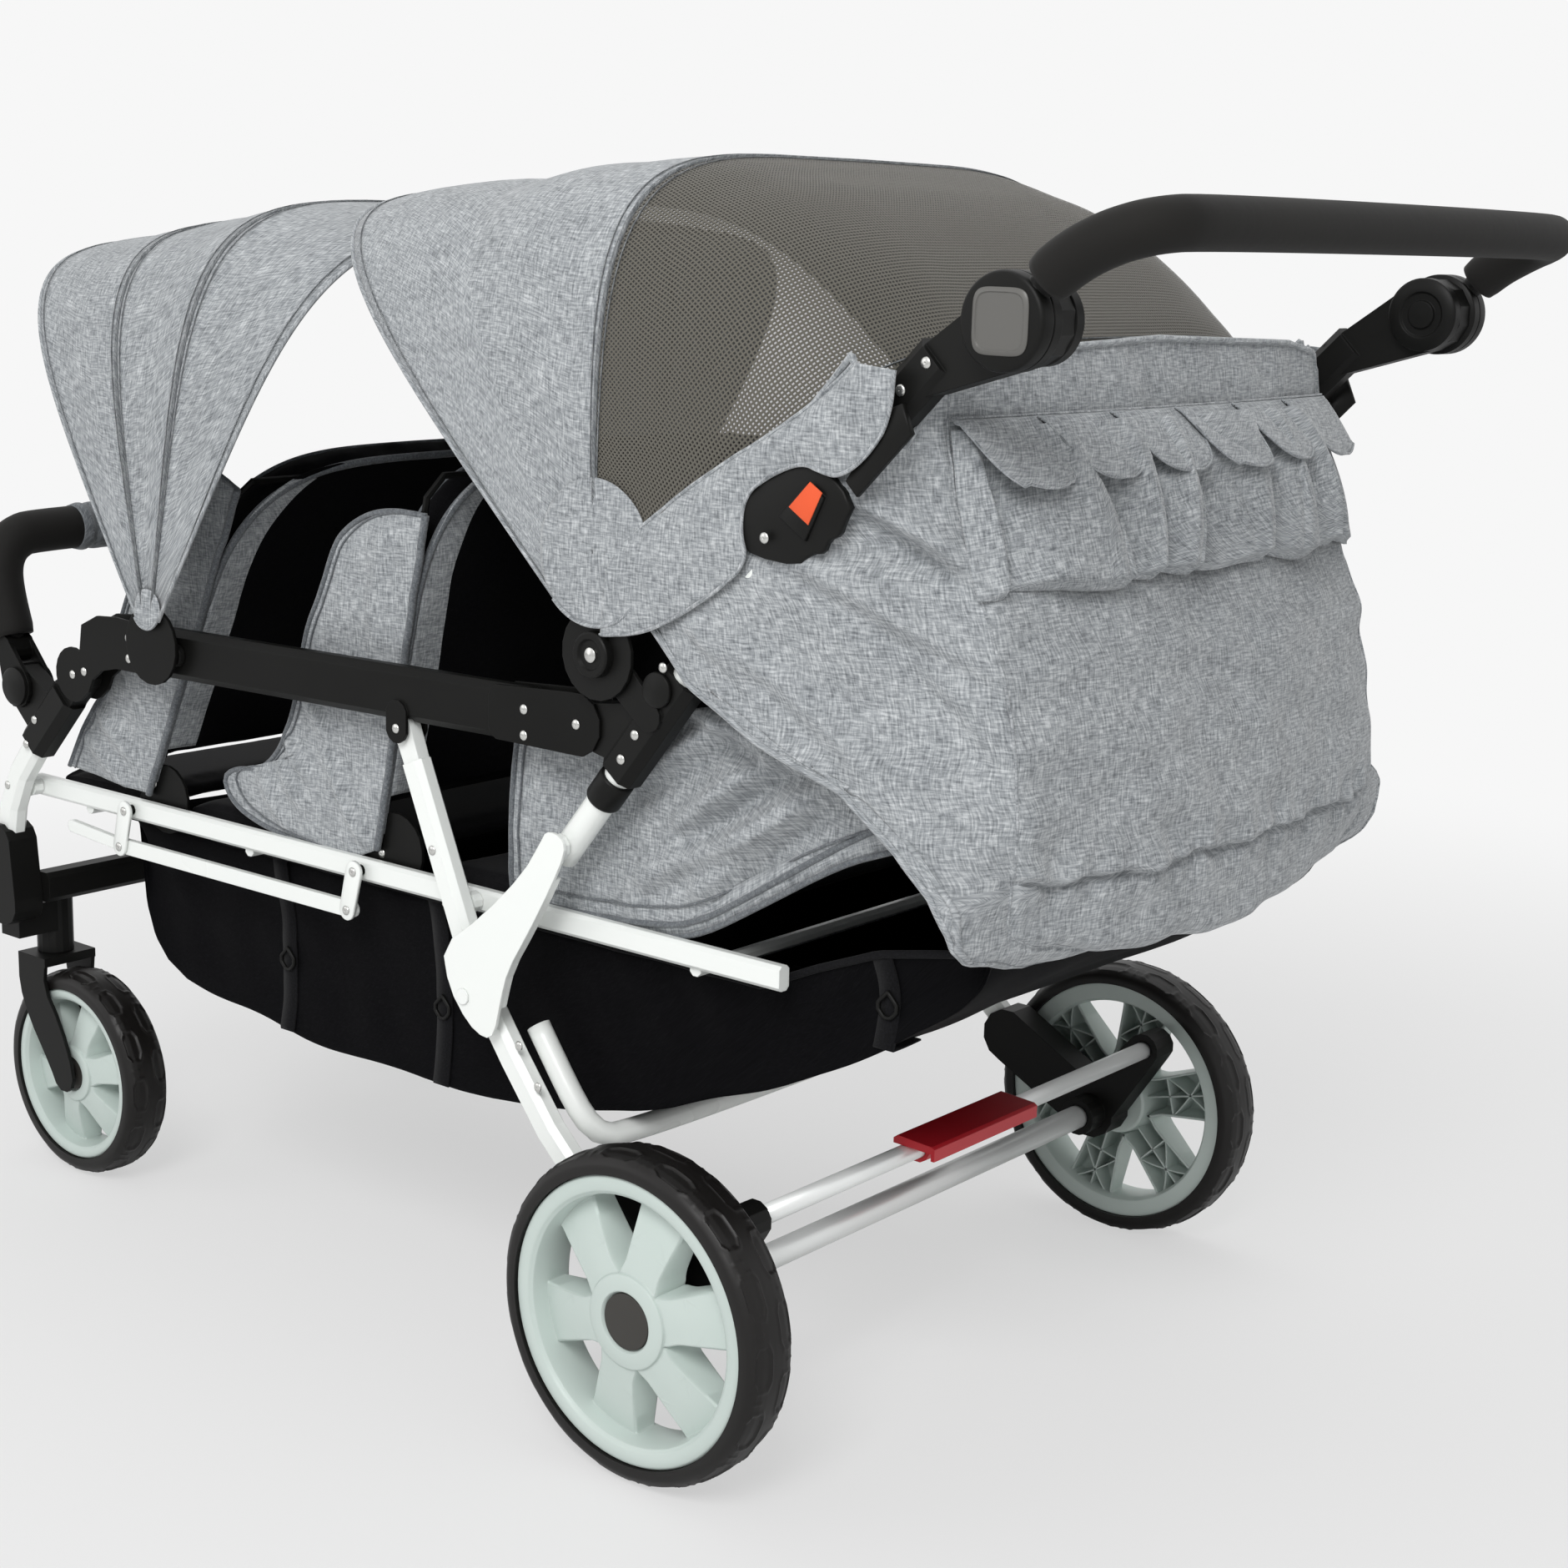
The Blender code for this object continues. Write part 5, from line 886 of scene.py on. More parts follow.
def makeCoverBag():
    u = np.linspace(0, 1, 321)[:, None]
    heights = spaced(rounded(np.stack([coverLevels[:, 0], 0 * coverLevels[:, 0]], 1), 1), 150)[:, 0][None]
    s = 1 - np.abs(u - 0.5) * 2
    # The top edge rises over the middle of the back and drops where it passes the push tubes
    dips = np.interp(s, (0, 0.22, 0.30, 0.40, 0.46, 0.52, 0.60, 1),
                     (0.0, 0.012, 0.052, 0.060, 0.034, 0.006, -0.002, -0.009))
    z = heights - dips * np.clip((heights - 0.800) / 0.072, 0, 1)
    base = coverPoint(u, z)
    plane = np.stack([base[..., 1] - rearAxleY, z + 0 * u], -1)
    # Near the pocket's corners the cloth is drawn into folds, which run down from the latch to the corner seam
    lift = ripple(base * np.array([1, 1.6, 0.8]), 31, 0.17) * 0.0035 + ripple(base, 32, 0.07) * 0.0018
    folds = (((0.140, 0.778), (0.262, 0.712), 0.010, 0.0125), ((0.111, 0.725), (0.262, 0.650), 0.012, 0.0100),
             ((0.044, 0.660), (0.160, 0.590), 0.011, 0.0085), ((0.184, 0.752), (0.240, 0.706), 0.007, 0.0070),
             ((0.150, 0.590), (0.256, 0.532), 0.012, 0.0070), ((0.010, 0.668), (0.085, 0.612), 0.009, 0.0055),
             ((0.170, 0.690), (0.258, 0.600), 0.012, 0.0080), ((0.205, 0.800), (0.250, 0.740), 0.007, 0.0055))
    side = np.clip((0.52 - s) / 0.05, 0, 1)
    lift += side * creases(plane, folds, (-0.625, -1.075), 0.75)
    # Seams: the vertical one at the corner and the level one above the lower panel, where the cloth hangs over it
    lift -= 0.0020 * bump(s - 0.50, 0.010)
    level = 0.502 + 0.010 * np.clip((0.60 - s) / 0.1, 0, 1) + 0.0022 * np.sin(u * 61) + 0.0014 * np.sin(u * 143 + 1)
    back = np.clip((s - 0.49) / 0.03, 0, 1)
    pucker = (np.sin(u * 2 * math.pi * 21 + 2 * np.sin(u * 37)) + 0.6 * np.sin(u * 2 * math.pi * 34)) * 0.0022
    over = np.clip((z - level) / 0.0035, 0, 1)
    lift += back * (0.0085 * over * np.exp(-np.maximum(z - level, 0) / 0.030) - 0.0050 * bump(z - level, 0.0030))
    lift += back * pucker * (bump(z - level - 0.012, 0.016) + 0.6 * bump(z - level + 0.010, 0.012))
    lift += back * 0.0040 * ripple(base * np.array([1, 1, 2.2]), 33, 0.10) * np.clip((0.70 - z) / 0.05, 0, 1)
    points = base + (lift - 0.0030)[..., None] * outward(base, coverInside)
    # The weave runs level: its chart is the run round the bag from the middle of the back, and the height
    run = np.cumsum(np.linalg.norm(np.diff(points[:, :, :2], axis=0, prepend=points[:1, :, :2]), axis=2), 0)
    chart = np.stack([run - run[160], points[..., 2]], 2)
    bag = makePiece("cover_body", [patch(points, inside=coverInside, chart=chart)], melange, "push_frame",
                    ("rear_cover",), thickness=0.0012)
    edges = [tube(line, 0.0027, 10, reference=(0, 0.2, 1)) for line in (points[:, 0], points[:, -1])]
    edges += [edging(line, 0.0027) for line in (points[0], points[-1])]
    edges += [edging(points[i], 0.0011, 8) for i in (80, 240)]
    inner = points[3] * 0.5 + points[4] * 0.5, points[-4] * 0.5 + points[-5] * 0.5
    edges += [edging(line + np.array([0.0008, 0, 0]) * np.sign(line[:, :1]), 0.0008, 6)
              for line in inner]
    return bag, makePiece("cover_hems", edges, melange, "push_frame")


def makeCoverPocket():
    # Pocket on the back: cut twice as wide as the back and gathered, so it stands in deep upright folds
    pu = np.linspace(0.248, 0.752, 481)[:, None]
    share = np.linspace(0, 1, 60)[None]
    turnIn = np.clip((share - 0.93) / 0.07, 0, 1)
    phase = pu * 2 * math.pi * cover["folds"] + 1.3 * np.sin(pu * 29) + (share - 0.4) * 3.2 * np.sin(pu * 43 + 1)
    saw = phase / (2 * math.pi) % 1
    fold = np.interp(saw, (0, 0.12, 0.42, 0.72, 0.90, 1.0), (0.0, 0.10, 0.60, 1.0, 0.92, 0.0))
    small = np.abs(np.sin(phase * 1.31 + 0.8 * np.sin(pu * 51) + share)) ** 0.7
    body = np.sin(math.pi * np.clip(share * 0.86 + 0.06, 0, 1)) ** 0.55
    edge = np.clip(np.minimum(pu - 0.248, 0.752 - pu) / 0.030, 0, 1)
    pocketLift = 0.0015 + edge * body * (0.0025 + 0.0240 * fold + 0.0040 * small * fold) * (1 - 0.92 * turnIn)
    pz = cover["pocketTop"] + (cover["pocketBottom"] - cover["pocketTop"]) * share + 0 * pu
    pz += 0.0050 * turnIn - 0.0045 * fold * np.clip((share - 0.6) / 0.4, 0, 1) + 0.0025 * np.sin(pu * 47) * share
    pocketBase = coverPoint(pu, pz)
    pocket = pocketBase + pocketLift[..., None] * outward(pocketBase, coverInside)
    return makePiece("cover_pocket", [patch(pocket, inside=coverInside)], melange, "push_frame", thickness=0.0011)


def makeCoverFlaps():
    # Flap row: each flap leans to the right, rounds off below and overlaps the flap before it. A flap's outline is
    # (run along the row in pitches, drop in reaches); straight lines fill it from the seam
    count = 6
    pitch = 0.500 / count
    leaf = np.array([(0, 0), (0.06, 0.32), (0.17, 0.66), (0.34, 0.90), (0.58, 1.0), (0.86, 0.98), (1.06, 0.80),
                     (1.15, 0.45), (1.20, 0)])
    leaf = spaced(rounded(leaf, 3), 81)
    fu, fv = np.linspace(0, 1, 81)[:, None], np.linspace(0, 1, 25)[None]
    flaps, trims = [], []
    for k in range(count):
        drop = np.maximum(leaf[:, 1:], 0.004) * cover["flapReach"] * (0.93 + 0.07 * math.cos(k * 2.1))
        fz = cover["flapTop"] - drop * fv
        at = 0.2495 + k * pitch + pitch * (1.20 * fu * (1 - fv) + leaf[:, :1] * fv)
        at = np.minimum(at, 0.7535)
        low = drop * fv / cover["flapReach"]
        stand = 0.0030 + 0.0260 * low ** 0.9 + 0.0085 * (1 - fu) * low ** 0.5 + 0.0012 * (1 - fu)
        stand += 0.0035 * low ** 2 * np.sin(fu * 5 + k * 1.7)
        under = coverPoint(at, fz)
        flap = under + stand[..., None] * outward(under, coverInside)
        flaps.append(patch(flap, inside=coverInside))
        trims.append(tube(flap[:, -1], 0.0011, 6, reference=(0, 0.2, 1)))
    scallops = makePiece("cover_flaps", flaps + trims, melange, "push_frame", thickness=0.0014)
    seam = coverPoint(np.linspace(0.249, 0.751, 200), 0.8300 + 0 * np.linspace(0, 1, 200))
    stitched = makePiece("cover_flap_seam", [tube(seam + np.array([0, 0.0012, 0]), 0.0013, 6, reference=(0, 0.2, 1))],
                         melange, "push_frame")
    return scallops, stitched


def makeCover():
    bag, rim = makeCoverBag()
    belt = makeCoverPocket()
    scallops, stitched = makeCoverFlaps()
    for piece in (bag, rim, belt, scallops, stitched):
        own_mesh(piece)


makeCover()
print("cover made")


# Side bands: cloth that wraps each push tube from the hood's hinge up to the handle bracket

def makeBands():
    band = {"x": 0.3262, "upper": ((-0.066, 0.716), (-0.020, 0.752), (0.022, 0.780), (0.094, 0.820),
                                   (0.132, 0.847), (0.156, 0.868)),
            "lower": ((-0.078, 0.652), (-0.040, 0.657), (-0.005, 0.672), (0.037, 0.697), (0.066, 0.722),
                      (0.058, 0.742), (0.060, 0.767), (0.078, 0.782), (0.112, 0.797), (0.132, 0.791), (0.148, 0.789),
                      (0.170, 0.805), (0.187, 0.829), (0.191, 0.864)),
            "latch": ((0.056, 0.735), (0.057, 0.776), (0.088, 0.794), (0.124, 0.801), (0.158, 0.772), (0.150, 0.757),
                      (0.147, 0.748), (0.137, 0.744), (0.133, 0.734), (0.122, 0.733), (0.110, 0.723), (0.070, 0.726)),
            "label": ((0.1047, 0.7649), (0.1232, 0.7839), (0.1341, 0.7771), (0.1226, 0.7536)),
            "strip": ((0.150, 0.786), (0.160, 0.776), (0.205, 0.822), (0.196, 0.842), (0.186, 0.838)),
            "boxX": (0.3195, 0.3250), "blockX": (0.324, 0.3285), "labelX": (0.3283, 0.3292),
            "stripX": (0.3195, 0.3240), "along": (0.783, 0.622)}
    for side, sign in sides:
        low = spaced(rounded(np.array(band["lower"]), 3), 240)
        top = np.array(band["upper"])
        # The upper edge is met straight across from the lower one: points are matched by their run along the tube
        run = np.maximum.accumulate((low - low[0]) @ np.array(band["along"]))
        topLine = spaced(rounded(top, 2), 200)
        topRun = (topLine - low[0]) @ np.array(band["along"])
        want = topRun[0] + (topRun[-1] - topRun[0]) * (run - run[0]) / (run[-1] - run[0])
        upper = np.stack([np.interp(want, topRun, topLine[:, k]) for k in (0, 1)], 1)
        v = np.linspace(0, 1, 30)[None, :, None]
        flat = upper[:, None] * (1 - v) + low[:, None] * v
        out = (band["x"] + 0.0030 * np.sin(math.pi * v[..., 0] ** 0.8) - 0.0030 * bump(v[..., 0], 0.1)
               + 0 * flat[..., 0])
        points = np.stack([sign * out, flat[..., 0], flat[..., 1]], -1)
        points[..., 0] += sign * (0.0013 * ripple(points, 41, 0.07) + 0.0006 * ripple(points, 42, 0.025))
        points = fromAxle(points)
        strap = makePiece(f"tube_band_{side}", [patch(points, inside=(0, 0.3, 0.6), level=(1, 2))], melange,
                          "push_frame", thickness=0.0014)
        lines = [points[:, -1], points[:, 0]]
        hem = makePiece(f"tube_band_hem_{side}", [edging(line, 0.0016, 8) for line in lines],
                        melange, "push_frame")
        for piece in (strap, hem):
            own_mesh(piece)
        # Latch box on the tube, seen in the notch, with its rivet and a bare orange patch
        shell = [plate(rounded(np.array(band["latch"] + band["latch"][:1]), 1)[1:-1], *band["boxX"], 0.0015, sign)]
        label = np.array(band["label"])
        block = label.mean(0) + (label - label.mean(0)) * 1.35 - np.array([0.004, 0.006])
        shell.append(plate(block, *band["blockX"], 0.0015, sign))
        shell.append(plate(band["strip"], *band["stripX"], 0.001, sign))
        makePiece(f"tube_latch_{side}", shell, blackNylon, "push_frame")
        makePiece(f"tube_latch_patch_{side}", [plate(label, *band["labelX"], 0.0003, sign)], orangePatch,
                  "push_frame")
        # Pale collar that joins the tube to the black bracket above the band
        direction = np.array([0, 0.7071, 0.7071])
        start = fromAxle((sign * pushTube["x"], *pushTube["top"])) - direction * 0.066
        profile = [(0, 0.0001), (0, 0.0150), (0.002, 0.0160), (0.012, 0.0160), (0.0145, 0.0150), (0.0145, 0.0001)]
        makePiece(f"tube_collar_{side}", [lathe(profile, start, 32, direction)], whitePaint, "push_frame")
        # Black collar low on the tube
        ring = [(0, 0.0119), (0, 0.0142), (0.002, 0.0150), (0.024, 0.0150), (0.026, 0.0142), (0.026, 0.0119)]
        spot = fromAxle((sign * pushTube["x"], -0.0970, 0.5174))
        makePiece(f"tube_stop_{side}", [lathe(ring, spot, 32, (0, 0.623, 0.782))], blackNylon, "push_frame")


# Hinge knobs of the rear hood, the domes on the push joint and the front hood's lugs

def makeKnobs():
    profile = [(0, 0.0001), (0, 0.0175), (0.004, 0.0182), (0.0100, 0.0178), (0.0112, 0.0165), (0.0112, 0.0125),
               (0.0090, 0.0110), (0.0090, 0.0001)]
    dome = [(0, 0.0001), (0, 0.0140), (0.0020, 0.0135), (0.0036, 0.0100), (0.0042, 0.0001)]
    bolt = [(0, 0.0001), (0, 0.0058), (0.0016, 0.0058), (0.0026, 0.0044), (0.0030, 0.0001)]
    lug = [(0, 0.0001), (0, 0.0100), (0.0050, 0.0096), (0.0060, 0.0080), (0.0060, 0.0001)]
    for side, sign in sides:
        def turned(outline, x, y, z, count=40):
            return lathe([(sign * a, b) for a, b in outline], fromAxle((sign * x, y, z)), count)
        for name, parts, material, body in (
                ("hood_knob", [turned(profile, 0.3190, *rearHood["hinge"])], blackNylon, "side_frame"),
                ("hood_knob_bolt", [turned(bolt, 0.3278, *rearHood["hinge"], 24)], rivetSteel, "side_frame"),
                ("push_joint_dome", [turned(dome, 0.3150, -0.0285, 0.6150)], blackNylon, "push_frame"),
                ("hood_lugs", [turned(lug, 0.3110, -0.635, 0.573), turned(lug, 0.3110, -0.610, 0.568)], blackNylon,
                 "side_frame"),
                ("hood_lug_bolts", [turned([(a, b * 0.7) for a, b in bolt], 0.3166, -0.635, 0.573, 20),
                                    turned([(a, b * 0.7) for a, b in bolt], 0.3166, -0.610, 0.568, 20)], rivetSteel,
                 "side_frame")):
            makePiece(f"{name}_{side}", parts, material, body, sharp=40)


makeBands()
makeKnobs()
print("bands made")


# Seats: padded backs and benches by cloth simulation, and the grey winged liners

cushion = {"weld": 0.00002, "voxel": 0.0055, "pressure": 4.0, "frames": 20}


def puff(name, node, body, cap, shrink=0.0035):
    # Cushion: a remeshed copy of the CAD solid, blown up by cloth pressure with a cap on how far a point moves
    source = bpy.data.objects[node]
    mesh = source.data.copy()
    mesh.transform(source.matrix_world)
    piece = addObject(name, mesh)
    for other in bpy.context.selected_objects:
        other.select_set(False)
    bpy.context.view_layer.objects.active = piece
    piece.select_set(True)
    weld = piece.modifiers.new("weld", "WELD")
    weld.merge_threshold = cushion["weld"]
    bpy.ops.object.modifier_apply(modifier=weld.name)
    remesh = piece.modifiers.new("remesh", "REMESH")
    remesh.mode, remesh.voxel_size = "VOXEL", cushion["voxel"]
    bpy.ops.object.modifier_apply(modifier=remesh.name)
    count = len(piece.data.vertices)
    start = np.empty(count * 3)
    piece.data.vertices.foreach_get("co", start)
    start = start.reshape(-1, 3)
    normals = np.empty(count * 3)
    piece.data.vertices.foreach_get("normal", normals)
    start = start - normals.reshape(-1, 3) * shrink
    piece.data.vertices.foreach_set("co", start.ravel())
    piece.data.update()
    cloth = piece.modifiers.new("cloth", "CLOTH")
    cloth.settings.use_pressure = True
    cloth.settings.uniform_pressure_force = cushion["pressure"]
    cloth.settings.effector_weights.gravity = 0.0
    cloth.settings.quality = 4
    scene = bpy.context.scene
    for step in range(1, cushion["frames"] + 1):
        scene.frame_set(step)
    bpy.ops.object.modifier_apply(modifier=cloth.name)
    scene.frame_set(1)
    end = np.empty(count * 3)
    piece.data.vertices.foreach_get("co", end)
    move = end.reshape(-1, 3) - start
    length = np.linalg.norm(move, axis=1)[:, None]
    move *= np.minimum(1, cap / np.maximum(length, 1e-9))
    piece.data.vertices.foreach_set("co", (start + move).ravel())
    piece.data.update()
    rounder = piece.modifiers.new("rounder", "SUBSURF")
    rounder.levels = rounder.render_levels = 1
    piece.data.polygons.foreach_set("use_smooth", [True] * len(piece.data.polygons))
    piece.data.materials.clear()
    piece.data.materials.append(blackCloth)
    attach(piece, body)
    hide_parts(node)


def makePads():
    for row in (1, 2):
        puff(f"back_cushion_{row}", f"row_{row}_pad", f"row_{row}_back", 0.007)
    puff("back_cushion_3", "seat_back_3", "push_frame", 0.006)
    for row in (1, 2, 3):
        puff(f"bench_cushion_{row}", f"seat_base_{row}", "seat_frame", 0.006, 0.003)


makePads()
print("pads made")

rows = {1: {"hinge": (-0.725, 0.402), "angle": 65.0}, 2: {"hinge": (-0.401, 0.402), "angle": 78.0}}
wings = {
    1: ((-0.002, 0.0125), (-0.112, 0.0240), (-0.085, 0.070), (-0.048, 0.110), (-0.020, 0.190), (0.035, 0.275),
        (0.110, 0.335)),
    2: ((-0.002, 0.0125), (-0.019, 0.0060), (-0.069, 0.0060), (-0.1225, 0.0100), (-0.170, 0.0200), (-0.192, 0.0340),
        (-0.199, 0.0520), (-0.177, 0.0620), (-0.147, 0.0640), (-0.118, 0.0870), (-0.0956, 0.133), (-0.083, 0.1965),
        (-0.061, 0.2356), (-0.042, 0.2795), (-0.0256, 0.2953), (0.001, 0.3091), (0.032, 0.3147), (0.063, 0.3139))}
wingFolds = {
    1: (((-0.060, 0.090), (-0.010, 0.050), 0.010, 0.0076), ((-0.080, 0.060), (-0.020, 0.020), 0.009, 0.0057)),
    2: (((-0.1076, 0.1036), (-0.0767, 0.0706), 0.0065, 0.0095),
        ((-0.1115, 0.0796), (-0.0907, 0.0449), 0.0065, 0.0095),
        ((-0.0518, 0.0932), (-0.008, 0.0257), 0.0075, 0.0085), ((-0.140, 0.060), (-0.110, 0.020), 0.007, 0.0076),
        ((0.020, 0.290), (0.010, 0.180), 0.012, 0.0047), ((-0.085, 0.150), (-0.050, 0.110), 0.008, 0.0057))}
wingX, backX = 0.2706, 0.262


def seatPlane(row):
    # Hinge and directions of a seat's back, and a function for points given by their run up the back and their
    # distance behind its line
    hinge, angle = np.array(rows[row]["hinge"]), math.radians(rows[row]["angle"])
    up, back = np.array([math.cos(angle), math.sin(angle)]), np.array([math.sin(angle), -math.cos(angle)])

    def at(x, along, behind):
        x, along, behind = np.broadcast_arrays(x, along, behind)
        flat = hinge + up * along[..., None] + back * behind[..., None]
        return fromAxle(np.stack([x, flat[..., 0], flat[..., 1]], -1))

    return hinge, up, back, fromAxle((0, *(hinge + up * 0.2 - back * 0.1))), at


def makeWings(row):
    # A sheet on each side from the back's edge to the wing's free edge, drawn into folds above the bench
    hinge, up, back, inside, _ = seatPlane(row)
    free = spaced(rounded(hinge + np.array(wings[row])[1:], 2), 90)
    seam = hinge + up * np.linspace(0.020, (0.350, 0.322)[row - 1], 90)[:, None] + back * 0.006
    v = np.linspace(0, 1, 40)[None, :, None]
    flat = seam[:, None] * (1 - v) + free[:, None] * v
    patches, tapes = [], []
    for sign in (1, -1):
        out = 0.0045 * np.sin(math.pi * v[..., 0]) * np.sin(math.pi * np.linspace(0.05, 0.95, 90))[:, None]
        for start, end, width, height in wingFolds[row]:
            out += height * crease(flat, hinge + start, hinge + end, width)
        points = np.stack([sign * (0.2990 + 0 * out), flat[..., 0], flat[..., 1]], -1)
        out += 0.0012 * ripple(points, 50 + row, 0.05) + 0.0005 * ripple(points, 56 + row, 0.018)
        out *= np.clip((1 - v[..., 0]) / 0.06, 0.25, 1)
        points[..., 0] = sign * (wingX + out)
        points = fromAxle(points)
        patches.append(patch(points, inside=inside, level=(1, 2)))
        shift = np.array([sign * 0.0010, 0, 0])
        tapes += [edging(points[:, -1], 0.0024), edging(points[:, 0] + shift, 0.0034),
                  edging(points[-1], 0.0022), edging(points[:, -4] + shift, 0.0009, 6)]
    wing = makePiece(f"wing_liner_{row}", patches, melange, f"row_{row}_back", (f"row_{row}_liner",),
                     thickness=0.0016)
    return wing, makePiece(f"wing_binding_{row}", tapes, piping, f"row_{row}_back")


def makeBackSheet(row):
    # The sheet behind the cushion, with rounded top corners: black, with a grey band up both sides
    _, _, back, inside, at = seatPlane(row)
    s, t = np.linspace(0, 1, 70)[:, None], np.linspace(-1, 1, 81)[None]
    corner = np.clip((s - 0.62) / 0.38, 0, 1)
    width = backX + 0.004 - 0.105 * (1 - np.sqrt(np.clip(1 - corner ** 2, 0, 1)))
    depth = 0.0066 + 0.005 * (1 - t ** 2) * np.sin(math.pi * s)
    points = at(t * width, 0.070 + 0.300 * s, depth)
    points = points + 0.0012 * ripple(points, 66 + row, 0.07)[..., None] * np.array([0, back[0], back[1]])
    banded = np.where((np.abs(t + 0 * s) > 0.87) & (s + 0 * t < 0.95), 1, 0)[:-1, :-1].ravel()
    return makePiece(f"back_sheet_{row}", [patch(points, inside=inside, slot=banded)], [blackSheet, melange],
                     f"row_{row}_back", thickness=0.0016)


def makeBorder(row):
    # Black border: an arch whose band runs from the welt at the back over the top of the cushion's front
    _, _, back, inside, at = seatPlane(row)
    arch = np.array([(backX, 0.035), (backX, 0.235), (backX - 0.006, 0.285), (backX - 0.026, 0.325),
                     (backX - 0.062, 0.350), (backX - 0.110, 0.3625), (0.08, 0.366)])
    arch = np.concatenate([arch, (arch * np.array([-1, 1]))[::-1]])
    arch = spaced(rounded(arch, 3), 181)
    normal = np.stack([np.gradient(arch[:, 1]), -np.gradient(arch[:, 0])], 1)
    normal /= np.linalg.norm(normal, axis=1)[:, None]
    w = np.linspace(0, 1, 26)[None]
    # Across the band: out from the welt, over a quarter circle at the edge, then in over the front by its width
    wide = np.interp(arch[:, 1], (0.03, 0.10, 0.30, 0.36), (0.036, 0.044, 0.052, 0.046))[:, None]
    turn = np.clip(w / 0.36, 0, 1) * math.pi / 2
    inwards = -0.004 - 0.0030 * np.sin(turn) + 0.011 * (1 - np.cos(turn)) + (wide - 0.011) * np.clip(
        (w - 0.36) / 0.64, 0, 1)
    ahead = 0.004 - 0.0365 * np.sin(turn) - 0.0035 * np.sin(math.pi * np.clip((w - 0.30) / 0.70, 0, 1))
    ahead += 0.006 * np.clip((w - 0.9) / 0.1, 0, 1)
    place = arch[:, None] - inwards[..., None] * normal[:, None]
    points = at(place[..., 0], place[..., 1], ahead)
    points += (0.0012 * ripple(points, 76 + row, 0.03) + 0.0006 * ripple(points, 77 + row, 0.012))[
        ..., None] * outward(points, inside)
    border = makePiece(f"back_border_{row}", [patch(points, inside=inside)], blackSheet, f"row_{row}_back",
                       thickness=0.0018)
    edge = arch + 0.0060 * normal
    welts = [tube(at(edge[:, 0], edge[:, 1], 0.0045 + 0 * edge[:, 0]), 0.0036, 12, reference=(0, *back))]
    turnAt = arch - 0.0020 * normal
    welts.append(tube(at(turnAt[:, 0], turnAt[:, 1], -0.0325 + 0 * turnAt[:, 0]), 0.0022, 10,
                      reference=(0, *back)))
    return border, makePiece(f"back_binding_{row}", welts, piping, f"row_{row}_back")


def makeLiners():
    for row in rows:
        wing, bind = makeWings(row)
        sheet = makeBackSheet(row)
        border, welt = makeBorder(row)


makeLiners()


def makeArms():
    # White arms from each back's black plate down to the long white bar, over the row frame's own arms
    arm = {"end": (-0.009, -0.036), "x": 0.2879, "thick": 0.0030}
    for row, seat in rows.items():
        hinge = np.array(seat["hinge"])
        end = hinge + np.array(arm["end"])
        parts, pins = [], []
        for side in (1, -1):
            outline = hull([(*hinge, 0.0095), (*end, 0.0090)], 32)
            parts.append(plate(outline, arm["x"], arm["x"] + arm["thick"], 0.0006, side))
            for spot in (hinge, end):
                head = [(0, 0.0001), (0, 0.0042), (0.0008, 0.0041), (0.0016, 0.0026), (0.0018, 0.0001)]
                pins.append(lathe(head, fromAxle((side * (arm["x"] + arm["thick"]), *spot)), 20, (side, 0, 0)))
        makePiece(f"recline_arms_{row}", parts, whitePaint, f"row_{row}_back")
        makePiece(f"recline_pins_{row}", pins, rivetSteel, f"row_{row}_back")


makeArms()


